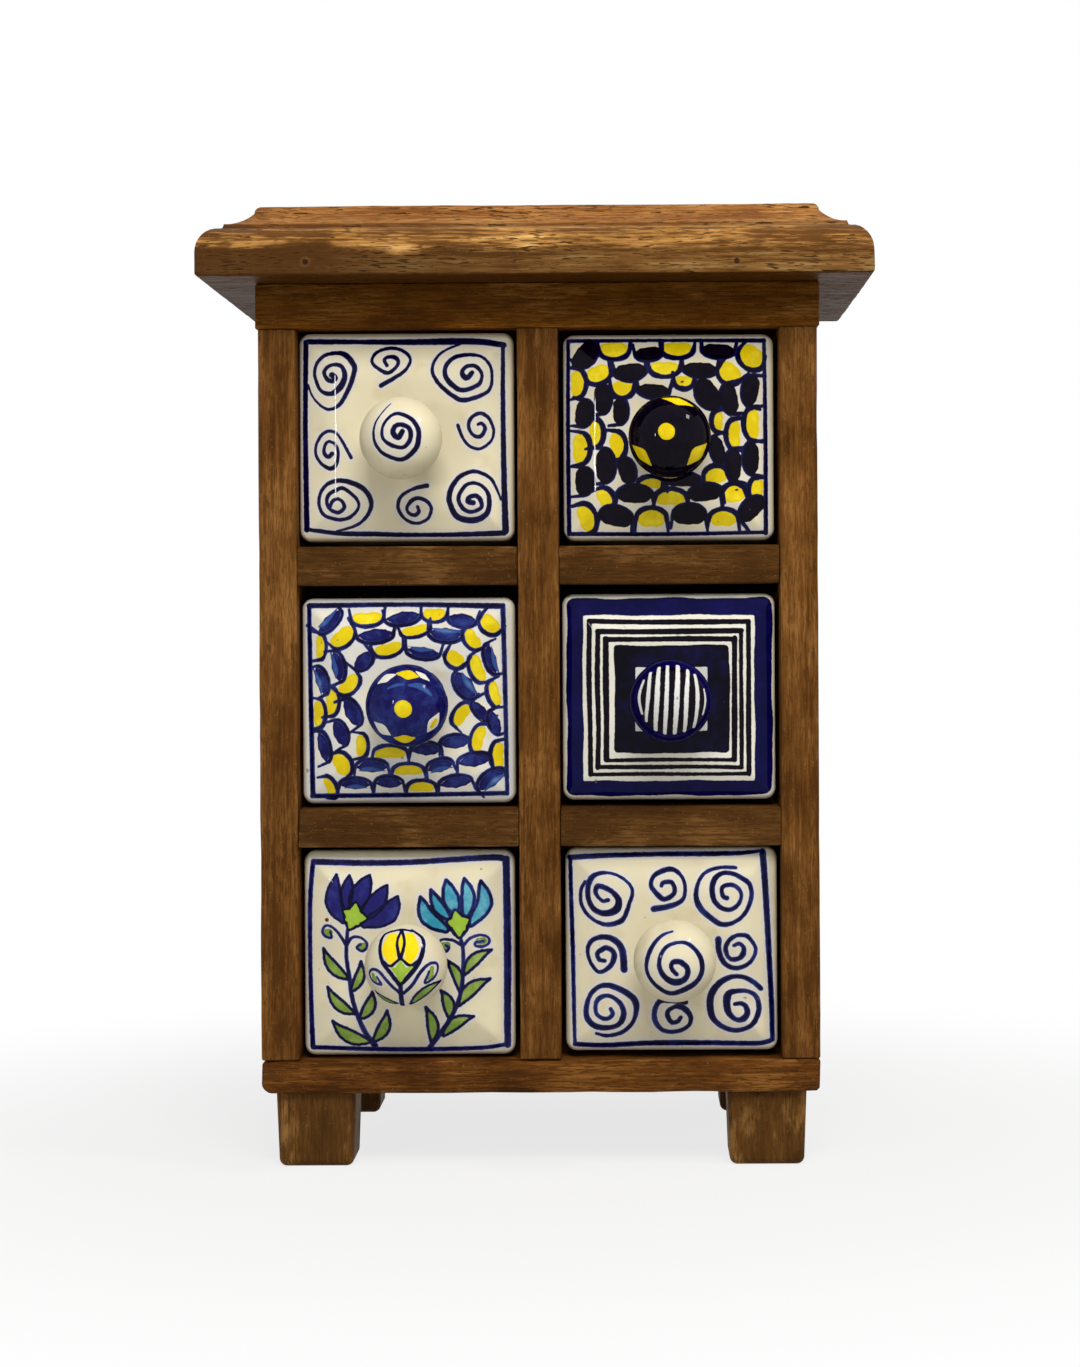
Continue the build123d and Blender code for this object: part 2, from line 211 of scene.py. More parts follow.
def steel(name, colour):
    """Plain wire nail and screw steel, dulled and spotted."""
    material, w = open_finish(name)
    spots = w.grainy(w.evenly(900.0), detail=3.0)
    close_finish(w, {
        "Base Color": w.tint(spots.ramp(0.45, 0.7), colour, RUST_SPOTS),
        "Metallic": spots.ramp(0.72, 0.5),
        "Roughness": spots.ramp(0.3, 0.7, 0.32, 0.6),
        "Normal": w.bumped(spots, 0.00005),
    })
    return material


# Each pigment: its tone as seen where it lies thick, where it lies thin, and whether it lies thin at its rim.
PIGMENTS = {
    "ink": ((4, 2, 34), (22, 20, 74), True),
    "navy": ((6, 4, 44), (38, 48, 116), True),
    "frame": ((12, 10, 56), (44, 48, 118), True),
    "band": ((4, 2, 58), (12, 10, 78), False),
    "coal": ((4, 0, 12), (16, 8, 26), False),
    "centre": ((3, 1, 14), (16, 12, 62), False),
    "yellow": ((218, 192, 6), (240, 222, 44), False),
    "sun": ((246, 214, 8), (250, 228, 40), False),
    "blue": ((16, 12, 78), (44, 60, 132), False),
    "petal": ((30, 28, 100), (56, 62, 146), False),
    "wash": ((46, 74, 138), (96, 130, 180), False),
    "cyan": ((46, 140, 170), (130, 194, 208), False),
    "green": ((112, 142, 54), (164, 186, 96), False),
    "lime": ((150, 184, 56), (180, 210, 88), False),
    "white": ((224, 221, 208), (234, 232, 224), False),
    "chalk": ((216, 216, 214), (228, 228, 224), False),
    "rust": ((70, 34, 20), (110, 60, 36), True),
}
LINES = ("ink", "navy", "frame")

# The bare clay under the glaze, its stains, the blue that bleeds beside a line, and the dark flecks.
IVORY = ((223, 214, 182), (214, 205, 176))
CHALK = ((228, 222, 200), (214, 212, 202))
STAINED_CLAY = seen(204, 190, 150)
BLED_BLUE = seen(204, 206, 224)
CLAY_FLECK = seen(96, 84, 66)


def glaze(name, layers, clay=IVORY):
    """Brushed colours under clear glaze. Each layer is a pigment and an attribute; the lowest comes first."""
    material, w = open_finish(name)
    brush = w.grainy(w.evenly(430.0), detail=3.0, rough=0.6)
    slow = w.grainy(w.evenly(120.0, (1.0, 4.0, 2.0)), detail=2.0)
    cloud = w.grainy(w.evenly(48.0), detail=2.0)
    wobble = w.grainy(w.evenly(800.0), detail=2.0)
    fleck = w.grainy(w.evenly(620.0, (4.0, 1.0, 7.0)), detail=0.0)
    colour = w.tint(cloud.ramp(0.35, 0.65), *(seen(*tone) for tone in clay))
    colour = w.tint(slow.ramp(0.54, 0.74) * 0.45, colour, STAINED_CLAY)
    for layer in layers:
        if layer in LINES:
            colour = w.tint(w.painted(layer).ramp(1.2, 0.1) * 0.50, colour, BLED_BLUE)
    for layer in layers:
        deep, thin, rim_is_thin = PIGMENTS[layer]
        away = w.painted(layer) + (wobble - 0.5) * 0.34
        rim = w.painted(layer).ramp(-0.8, 0.05)
        gathered, held_back = (0.30, 0.12) if rim_is_thin else (-0.22, 0.0)
        load = brush * 0.5 + slow * 0.6 + rim * gathered - held_back
        pigment = w.tint(load.ramp(0.42, 0.82), seen(*deep), seen(*thin))
        colour = w.tint(away.ramp(0.10, -0.12), colour, pigment)
    colour = w.tint(fleck.ramp(0.145, 0.10) * 0.6, colour, CLAY_FLECK)
    swell = w.grainy(w.evenly(100.0, (2.0, 3.0, 1.0)), detail=1.0)
    peel = w.grainy(w.evenly(600.0), detail=1.0)
    close_finish(w, {
        "Base Color": colour,
        "Roughness": 0.35,
        "Coat Weight": 0.18,
        "Coat Roughness": 0.03,
        "Specular IOR Level": 0.0,
        "Normal": w.bumped(swell + peel * 0.10, 0.0005, 0.5),
    })
    return material


# ------------------------------------------------------------------ making pieces


def stand(bm, name, body, material, nodes=(), sharp=40.0):
    """Turns a bmesh in millimetres into a finished piece in the object's frame."""
    bmesh.ops.scale(bm, vec=(MM, MM, MM), verts=bm.verts)
    bmesh.ops.recalc_face_normals(bm, faces=bm.faces)
    for face in bm.faces:
        face.smooth = True
    for edge in bm.edges:
        if len(edge.link_faces) == 2 and edge.calc_face_angle() > math.radians(sharp):
            edge.smooth = False
    mesh = bpy.data.meshes.new(name)
    bm.to_mesh(mesh)
    bm.free()
    mesh.materials.append(material)
    piece = bpy.data.objects.new(name, mesh)
    bpy.context.scene.collection.objects.link(piece)
    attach(piece, body)
    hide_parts(*nodes)
    return piece


def write_value(piece, name, values):
    """Writes one number for each vertex, for a finish to read."""
    attribute = piece.data.attributes.new(name, "FLOAT", "POINT")
    attribute.data.foreach_set("value", np.asarray(values, dtype=np.float32))


def places(piece):
    """The vertices of a piece, in millimetres, one row each."""
    flat = np.empty(len(piece.data.vertices) * 3)
    piece.data.vertices.foreach_get("co", flat)
    return flat.reshape(-1, 3) / MM


def node_box(node):
    """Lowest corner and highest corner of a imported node, in millimetres."""
    low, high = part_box(node)
    return low / MM, high / MM


def rough(point, scale, seed):
    """Smooth noise about zero at a point given in millimetres."""
    return noise.noise(Vector(point) * scale + Vector((seed, seed * 1.7, seed * 0.3)))


def block(low, high):
    """A bmesh box between two corners, in millimetres."""
    bm = bmesh.new()
    bmesh.ops.create_cube(bm, size=1.0)
    bmesh.ops.scale(bm, vec=high - low, verts=bm.verts)
    bmesh.ops.translate(bm, vec=(high + low) / 2, verts=bm.verts)
    return bm


def soften(bm, edges, offset, segments):
    """Rounds the given edges."""
    bmesh.ops.bevel(
        bm, geom=edges, offset=offset, offset_type="OFFSET", segments=segments, profile=0.5,
        affect="EDGES", material=-1, clamp_overlap=True,
    )


def cut_at(bm, axis, where):
    """Cuts everything across one axis, so that it can be bent there."""
    normal, place = Vector((0, 0, 0)), Vector((0, 0, 0))
    normal[axis] = 1.0
    place[axis] = where
    everything = bm.verts[:] + bm.edges[:] + bm.faces[:]
    bmesh.ops.bisect_plane(bm, geom=everything, plane_co=place, plane_no=normal, dist=0.0001)


def cut_up(bm, axis, low, high, step):
    """Cuts a board across one axis at even steps, so that its edges can be worn."""
    count = max(1, round((high - low) / step))
    for index in range(1, count):
        cut_at(bm, axis, low + (high - low) * index / count)


# How finely an arris and a corner are rounded, and how far apart a board is cut across, deep and up.
ARRIS_STEPS = 4
CORNER_STEPS = 6
BOARD_CUTS = (6.0, 14.0, 6.0)


def plank(node, material, seed, arris=0.55, wear=0.5, corners=()):
    """A sawn and waxed board in place of a packed one, never larger, with worn edges.

    corners are (side, radius) for lower corners that are rounded more, with side -1 on the left and 1 on the right.
    """
    low, high = node_box(node)
    bm = block(low, high)
    centre = (low + high) / 2
    for side, radius in corners:
        foot = [
            edge
            for edge in bm.edges
            if all(v.co.z < low.z + 0.01 and (v.co.x - centre.x) * side > 0 for v in edge.verts)
        ]
        soften(bm, foot, radius, CORNER_STEPS)
    soften(bm, [edge for edge in bm.edges if edge.calc_face_angle() > 1.0], arris, ARRIS_STEPS)
    for axis, step in enumerate(BOARD_CUTS):
        if high[axis] - low[axis] > 2.5 * step:
            cut_up(bm, axis, low[axis] + 2 * arris, high[axis] - 2 * arris, step)
    for vert in bm.verts:
        near = sorted(min(vert.co[i] - low[i], high[i] - vert.co[i]) for i in range(3))
        edge_share = max(0.0, 1.0 - near[1] / (2.2 * arris))
        worn = max(0.0, rough(vert.co, 0.055, seed) + 0.45 * rough(vert.co, 0.21, seed + 3)) * wear
        pull = edge_share * worn + 0.07 * (0.5 + rough(vert.co, 0.08, seed + 9))
        inward = centre - vert.co
        for axis in range(3):
            if min(vert.co[axis] - low[axis], high[axis] - vert.co[axis]) < 1.6 * arris:
                vert.co[axis] += math.copysign(pull, inward[axis])
    piece = stand(bm, f"{node}_board", "case", material, [node], sharp=50.0)
    near = np.minimum(places(piece) - np.array(low), np.array(high) - places(piece))
    write_value(piece, "arris", np.sort(near, axis=1)[:, 1])


# ------------------------------------------------------------------ the moulded top

# The steps of the moulding, in millimetres, from the lower edge up, which is soft and kept as (inset, height) pairs.
SOLE_ARRIS = [(0.9, 0.0), (0.45, 0.12), (0.12, 0.45), (0.0, 0.95), (0.0, 3.6)]
OVOLO = {"flat": 7.0, "width": 6.6, "height": 8.0}
QUIRK = {"width": 0.8, "height": 1.4}
COVE = {"width": 8.0, "height": 4.2, "sag": 1.0}
NOSE_W = 2.4

# How wide the whole moulding is, how far out its ends begin to wear, and a distance at which no edge is worn.
MOULDING_W = 17.0
ENDS_FROM = 70.0
NO_ARRIS = 5.0


def top_profile(thick):
    """The moulding from the lower edge up, as (inset, height) pairs."""
    line = SOLE_ARRIS + [(0.0, OVOLO["flat"])]
    for index in range(1, 9):
        angle = math.radians(90 * index / 8)
        line.append((OVOLO["width"] * (1 - math.cos(angle)), OVOLO["flat"] + OVOLO["height"] * math.sin(angle)))
    inset, height = line[-1]
    inset += QUIRK["width"]
    line += [(inset - 0.25, height + 0.25), (inset, height + 0.8), (inset + 0.15, height + QUIRK["height"])]
    height += QUIRK["height"]
    for index in range(1, 9):
        share = index / 8
        sag = 4 * COVE["sag"] * share * (1 - share)
        line.append((inset + COVE["width"] * share, height + COVE["height"] * share - sag))
    inset, height = line[-1]
    for index in range(1, 5):
        angle = math.radians(90 * index / 4)
        rise = (thick - height) * math.sin(angle)
        line.append((inset + NOSE_W * (1 - math.cos(angle)), height + rise))
    return line


def extruded(bm, face):
    """Extrudes one face and gives back the new one."""
    made = bmesh.ops.extrude_face_region(bm, geom=[face])["geom"]
    bmesh.ops.delete(bm, geom=[face], context="FACES_ONLY")
    return next(item for item in made if isinstance(item, bmesh.types.BMFace))


def moulded_top(material):
    """The overhanging top: one moulding around the front and both ends, cut square at the back."""
    low, high = node_box("moulded_top")
    middle = (low + high) / 2
    bm = block(low, Vector((high.x, high.y, low.z + 0.001)))
    cap = max(bm.faces, key=lambda face: face.calc_center_median().z)
    start = top_profile(high.z - low.z)[0][0]
    for vert in bm.verts:
        vert.co.x -= math.copysign(start, vert.co.x - middle.x)
        vert.co.y += start if vert.co.y < middle.y else 0.0
    for inset, height in top_profile(high.z - low.z)[1:]:
        cap = extruded(bm, cap)
        for vert in cap.verts:
            vert.co.x = math.copysign((high.x - low.x) / 2 - inset, vert.co.x - middle.x) + middle.x
            if vert.co.y < middle.y:
                vert.co.y = low.y + inset
            vert.co.z = low.z + height
    bmesh.ops.remove_doubles(bm, verts=bm.verts, dist=0.0005)
    cut_up(bm, 0, low.x + MOULDING_W, high.x - MOULDING_W, 5.0)
    cut_up(bm, 1, low.y + MOULDING_W, high.y, 6.0)
    for vert in bm.verts:
        worn = 0.22 * (0.5 + rough(vert.co, 0.045, 5.0)) + 0.16 * (0.5 + rough(vert.co, 0.16, 2.0))
        worn = max(worn, 0.0)
        if abs(vert.co.x) > ENDS_FROM:
            vert.co.x -= math.copysign(worn, vert.co.x)
        if vert.co.y < low.y + MOULDING_W + 1:
            vert.co.y += worn
        if vert.co.z > low.z + 6:
            vert.co.z -= worn * 0.6
        elif vert.co.y < low.y + 3:
            vert.co.z += 0.5 * max(0.0, rough(vert.co, 0.03, 8.0))
    piece = stand(bm, "moulded_top_board", "case", material, ["moulded_top"], sharp=60.0)
    write_value(piece, "arris", np.full(len(piece.data.vertices), NO_ARRIS))


# ------------------------------------------------------------------ pottery

# How far the field of a front stands up, how much it domes, how wide its slope is and how soft the fold above it.
CROWN_H = 4.6
DOME_H = 0.45
BEVEL_W = 11.4
FIELD_SOFTNESS = 1.5
FACE_CORNER_R = 3.4
RIM_ROUND = 1.3
RIM_T = 5.0
RIM_BACK = 4.5
FACE_CELLS = 200

# Each front: the middle across, the middle up, half its width and half its height.
FACES = {
    "top_left": (-39.70, 219.95, 32.40, 31.45), "top_right": (39.35, 219.45, 31.75, 31.10),
    "middle_left": (-39.45, 140.40, 32.15, 31.00), "middle_right": (39.05, 141.20, 32.10, 31.05),
    "bottom_left": (-39.60, 64.30, 31.80, 30.90), "bottom_right": (39.45, 65.10, 31.95, 30.70),
}


def soft_min(a, b, width):
    """The smaller of two values, with the change-over rounded off."""
    share = np.clip(0.5 + 0.5 * (b - a) / width, 0, 1)
    return b + (a - b) * share - width * share * (1 - share)


def rounded_outline(x, z, half_w, half_h, radius):
    """Presses a square grid into a rectangle with round corners. Gives x, z and the distance to its edge."""
    px = np.maximum(np.abs(x) - (half_w - radius), 0)
    pz = np.maximum(np.abs(z) - (half_h - radius), 0)
    far = np.hypot(px, pz)
    share = np.where(far > 0, np.maximum(px, pz) / np.maximum(far, 1e-9), 1)
    corner = (px > 0) & (pz > 0)
    share = np.where(corner, share, 1)
    x = np.where(corner, np.sign(x) * (half_w - radius + px * share), x)
    z = np.where(corner, np.sign(z) * (half_h - radius + pz * share), z)
    straight = np.minimum(half_w - np.abs(x), half_h - np.abs(z))
    edge = np.where(corner, radius - np.hypot(px, pz) * share, straight)
    return x, z, np.maximum(edge, 0)


def crown(x, z, half_w, half_h, edge, seed):
    """Height of a pillow-shaped front above its rim."""
    toward = soft_min(half_w - np.abs(x), half_h - np.abs(z), 1.3)
    rise = soft_min(toward * CROWN_H / BEVEL_W, np.full_like(x, CROWN_H), FIELD_SOFTNESS)
    dome = DOME_H * (1 - (x / half_w) ** 2) * (1 - (z / half_h) ** 2)
    drop = RIM_ROUND - np.sqrt(np.maximum(RIM_ROUND**2 - np.maximum(RIM_ROUND - edge, 0) ** 2, 0))
    uneven = 0.06 * np.sin(x / 9.0 + seed) * np.cos(z / 9.5 + 2 * seed) + 0.015 * np.sin(x / 3.7 - z / 4.9 + seed)
    return rise + dome - drop + uneven * np.clip(edge / 6, 0, 1)


# How much fuller than its given widths each line colour runs.
LINE_FULLNESS = {"ink": 1.24, "navy": 1.34, "frame": 1.24}


class Brushwork:
    """Brush strokes laid on one piece. Each colour keeps the distance to the edge of its strokes."""

    FAR = 9.0
    PAST_STROKE = 2.0

    def __init__(self, u, v, seed):
        self.u = u
        self.v = v
        self.layers = {}
        self.chance = np.random.default_rng(seed)

    def stroke(self, layer, points, widths):
        """A stroke through points (u, v) whose width runs through widths, all in millimetres."""
        points = smooth_line(points, 6) if len(points) > 2 else np.array(points, float)
        half = np.interp(np.linspace(0, 1, len(points)), np.linspace(0, 1, len(widths)), widths) / 2
        half *= LINE_FULLNESS.get(layer, 1.0)
        away, near = self.away_from(points, half)
        field = self.field(layer)
        field[near] = np.minimum(field[near], away)

    def away_from(self, points, half):
        """Distance of every near point from the edge of a stroke, and which points are near."""
        reach = half.max() + self.PAST_STROKE
        low, high = points.min(0) - reach, points.max(0) + reach
        near = (self.u > low[0]) & (self.u < high[0]) & (self.v > low[1]) & (self.v < high[1])
        u, v = self.u[near], self.v[near]
        best = np.full(len(u), self.FAR)
        for start, end, r0, r1 in zip(points[:-1], points[1:], half[:-1], half[1:]):
            run = end - start
            length = max(float(run @ run), 1e-12)
            share = np.clip(((u - start[0]) * run[0] + (v - start[1]) * run[1]) / length, 0, 1)
            away = np.hypot(u - start[0] - share * run[0], v - start[1] - share * run[1])
            best = np.minimum(best, away - (r0 + share * (r1 - r0)))
        return best, near

    def field(self, layer):
        """The distances kept for one colour, far from everything until it is first used."""
        return self.layers.setdefault(layer, np.full(len(self.u), self.FAR))

    def shape(self, layer, line, points, half, rim):
        """A filled shape in one colour with its edge drawn in another."""
        away, near = self.away_from(points, half)
        fill, edge = self.field(layer), self.field(line)
        fill[near] = np.minimum(fill[near], away)
        edge[near] = np.minimum(edge[near], np.abs(away) - rim / 2)

    def sheet(self, layer, middle, half, corner, waver):
        """A filled rectangle with round corners and slightly wavering edges."""
        phase = self.chance.uniform(0, 6, 4)
        sway_u = np.sin(self.v / 5.1 + phase[0]) + 0.6 * np.sin(self.v / 2.3 + phase[1])
        sway_v = np.sin(self.u / 4.7 + phase[2]) + 0.6 * np.sin(self.u / 2.1 + phase[3])
        du, dv = self.u - middle[0] + waver * sway_u, self.v - middle[1] + waver * sway_v
        du, dv = np.abs(du) - half[0] + corner, np.abs(dv) - half[1] + corner
        outside = np.hypot(np.maximum(du, 0), np.maximum(dv, 0))
        away = outside + np.minimum(np.maximum(du, dv), 0) - corner
        field = self.field(layer)
        field[:] = np.minimum(field, away)

    def write(self, piece, names):
        """Writes the named colours on the piece."""
        for name in names:
            write_value(piece, name, self.field(name))


def smooth_line(points, per_span):
    """A smooth curve through the points."""
    points = np.array(points, float)
    padded = np.vstack([2 * points[0] - points[1], points, 2 * points[-1] - points[-2]])
    at = np.linspace(0, len(points) - 1, (len(points) - 1) * per_span + 1)
    index = np.minimum(at.astype(int), len(points) - 2)
    t = (at - index)[:, None]
    p0, p1, p2, p3 = (padded[index + k] for k in range(4))
    return 0.5 * (2 * p1 + (p2 - p0) * t + (2 * p0 - 5 * p1 + 4 * p2 - p3) * t**2 + (3 * p1 - p0 - 3 * p2 + p3) * t**3)


def drawer_front(key, material, seed):
    """The pillow-shaped front plate of a drawer. Gives the piece and each vertex's place on it."""
    centre_x, centre_z, half_w, half_h = FACES[key]
    rim_y = node_box(f"drawer_{key}")[0].y + RIM_BACK
    bm = bmesh.new()
    bmesh.ops.create_grid(bm, x_segments=FACE_CELLS, y_segments=FACE_CELLS, size=1.0)
    flat = np.array([vert.co[:2] for vert in bm.verts])
    even = 0.65 * flat + 0.35 * np.sin(flat * math.pi / 2)
    x, z, edge = rounded_outline(even[:, 0] * half_w, even[:, 1] * half_h, half_w, half_h, FACE_CORNER_R)
    rise = crown(x, z, half_w, half_h, edge, seed)
    for vert, vx, vz, vh in zip(bm.verts, x, z, rise):
        vert.co = (centre_x + vx, rim_y - vh, centre_z + vz)
    border = [e for e in bm.edges if e.is_boundary]
    made = bmesh.ops.extrude_edge_only(bm, edges=border)["geom"]
    for vert in [item for item in made if isinstance(item, bmesh.types.BMVert)]:
        vert.co.y = rim_y + RIM_T
    rear = [item for item in made if isinstance(item, bmesh.types.BMEdge) and item.is_boundary]
    bmesh.ops.holes_fill(bm, edges=rear, sides=0)
    piece = stand(bm, f"drawer_{key}_front", f"{key}_drawer", material, [f"drawer_{key}"])
    spots = places(piece)
    return piece, spots[:, 0] - centre_x, spots[:, 2] - centre_z


# The box of a drawer: its clay, its outside, how far it laps into the front, its rounds and the lift of its sole.
BOX_WALL = 4.0
BOX_FLOOR = 4.5
BOX_W = 61.0
BOX_H = 52.0
BOX_LAP = 0.6
BOX_CORNER_R = 5.0
LIP_R = 1.2
SOLE_R = 2.2
SOLE_RISE = 2.2
SOLE_RUN = 13.0


def drawer_box(key, material):
    """The open pottery box behind the front: soft corners, a sole that lifts at the front, a rounded lip."""
    low, high = node_box(f"drawer_{key}")
    middle_x = (low.x + high.x) / 2
    front_y = low.y + RIM_BACK + RIM_T
    top_z = low.z + BOX_H
    near_corner = Vector((middle_x - BOX_W / 2, front_y - BOX_LAP, low.z))
    bm = block(near_corner, Vector((middle_x + BOX_W / 2, high.y, top_z)))
    upright = [e for e in bm.edges if abs(e.verts[0].co.z - e.verts[1].co.z) > 1 and e.verts[0].co.y > 0]
    soften(bm, upright, BOX_CORNER_R, 8)
    lid = max(bm.faces, key=lambda face: face.calc_center_median().z)
    bmesh.ops.inset_region(bm, faces=[lid], thickness=BOX_WALL, use_even_offset=True)
    for vert in lid.verts:
        if vert.co.y < front_y + BOX_WALL:
            vert.co.y = front_y
    inner = extruded(bm, lid)
    for vert in inner.verts:
        vert.co.z = low.z + BOX_FLOOR
    lip = [e for e in bm.edges if all(v.co.z > top_z - 0.01 for v in e.verts)]
    soften(bm, [e for e in lip if any(v.co.y > front_y + 0.5 for v in e.verts)], LIP_R, 4)
    sole = [e for e in bm.edges if all(v.co.z < low.z + 0.01 for v in e.verts)]
    soften(bm, sole + list(inner.edges), SOLE_R, 5)
    cut_at(bm, 1, front_y + SOLE_RUN)
    for vert in bm.verts:
        lifted = front_y + SOLE_RUN - vert.co.y
        if vert.co.z < low.z + 2.5 and lifted > 0:
            vert.co.z += SOLE_RISE * min(1.0, lifted / SOLE_RUN)
    stand(bm, f"drawer_{key}_box", f"{key}_drawer", material, [f"drawer_{key}"])


# The ball of a knob, the neck that leaves it at a polar angle, and how finely both are divided.
KNOB_R = 12.2
KNOB_HALF = 11.0
NECK_R = 6.0
NECK_FOOT_R = 7.6
NECK_TURN = math.radians(146)
NECK_START = 9.2
NECK_RUN = 1.2
TENON_IN = 3.0
KNOB_AROUND = 220
KNOB_RINGS = 120


def knob(key, material):
    """A thrown ball knob on a short neck. Gives the piece and each vertex's place around its tip."""
    low, high = node_box(f"knob_{key}")
    centre = Vector(((low.x + high.x) / 2, low.y + KNOB_HALF, (low.z + high.z) / 2))
    bm = bmesh.new()
    bmesh.ops.create_uvsphere(bm, u_segments=KNOB_AROUND, v_segments=KNOB_RINGS, radius=1.0)
    for vert in bm.verts:
        polar = math.acos(max(-1.0, min(1.0, vert.co.z)))
        around = math.atan2(vert.co.y, vert.co.x)
        radius, depth = knob_profile(polar, high.y - TENON_IN - centre.y)
        vert.co = (centre.x + radius * math.cos(around), centre.y + depth, centre.z + radius * math.sin(around))
    piece = stand(bm, f"knob_{key}_ball", f"{key}_drawer", material, [f"knob_{key}"])
    spots = places(piece) - np.array(centre)
    radius = np.hypot(spots[:, 0], spots[:, 2])
    polar = np.arctan2(radius / KNOB_R, -spots[:, 1] / KNOB_HALF)
    spread = KNOB_R * polar / np.maximum(radius, 1e-6)
    return piece, spots[:, 0] * spread, spots[:, 2] * spread


def knob_profile(polar, foot):
    """Radius and depth of the knob at a polar angle counted from its tip; foot is the depth where the neck ends."""
    if polar < NECK_TURN:
        return KNOB_R * math.sin(polar), -KNOB_HALF * math.cos(polar)
    share = (polar - NECK_TURN) / (math.pi - NECK_TURN)
    neck = NECK_START + NECK_RUN
    radius_on, depth_on = KNOB_R * math.sin(NECK_TURN), -KNOB_HALF * math.cos(NECK_TURN)
    if share < 0.45:
        part = share / 0.45
        ease = part * part * (3 - 2 * part)
        return radius_on + (NECK_R - radius_on) * math.sin(part * math.pi / 2), depth_on + (neck - depth_on) * ease
    if share < 0.9:
        part = (share - 0.45) / 0.45
        return NECK_R + (NECK_FOOT_R - NECK_R) * part**2, neck + (foot - neck) * part
    part = (share - 0.9) / 0.1
    return NECK_FOOT_R * (1 - part), foot


# ------------------------------------------------------------------ patterns

FACING = {
    "down": (0, -1), "up": (0, 1), "right": (1, 0), "left": (-1, 0),
    "down_left": (-1, -1), "down_right": (1, -1), "up_right": (1, 1),
}


# How far from the middle of a front a scale's line may run.
INSIDE_BORDER = 29.3

# A knob stands nearer the camera than its front and looks this much larger. Points past the limit stay on its side.
KNOB_NEARER = 1.035
KNOB_LIMIT = 0.985

# How far from its tip, over the skin, the side of a knob lies.
KNOB_SIDE = 19.5

LEAF_RIM = 1.0


def outline(brush, layer, top, right, bottom, left, widths):
    """The four brushed lines near the rim, each through its own points."""
    for line, width in zip((top, right, bottom, left), widths):
        brush.stroke(layer, line, width)


def on_ball(*points):
    """Points given as they look from straight in front, laid on the knob's skin."""
    laid = []
    for across, up in points:
        radius = max(math.hypot(across, up) / KNOB_NEARER, 1e-6)
        spread = KNOB_R * math.asin(min(radius / KNOB_R, KNOB_LIMIT)) / radius
        laid.append((across / KNOB_NEARER * spread, up / KNOB_NEARER * spread))
    return laid


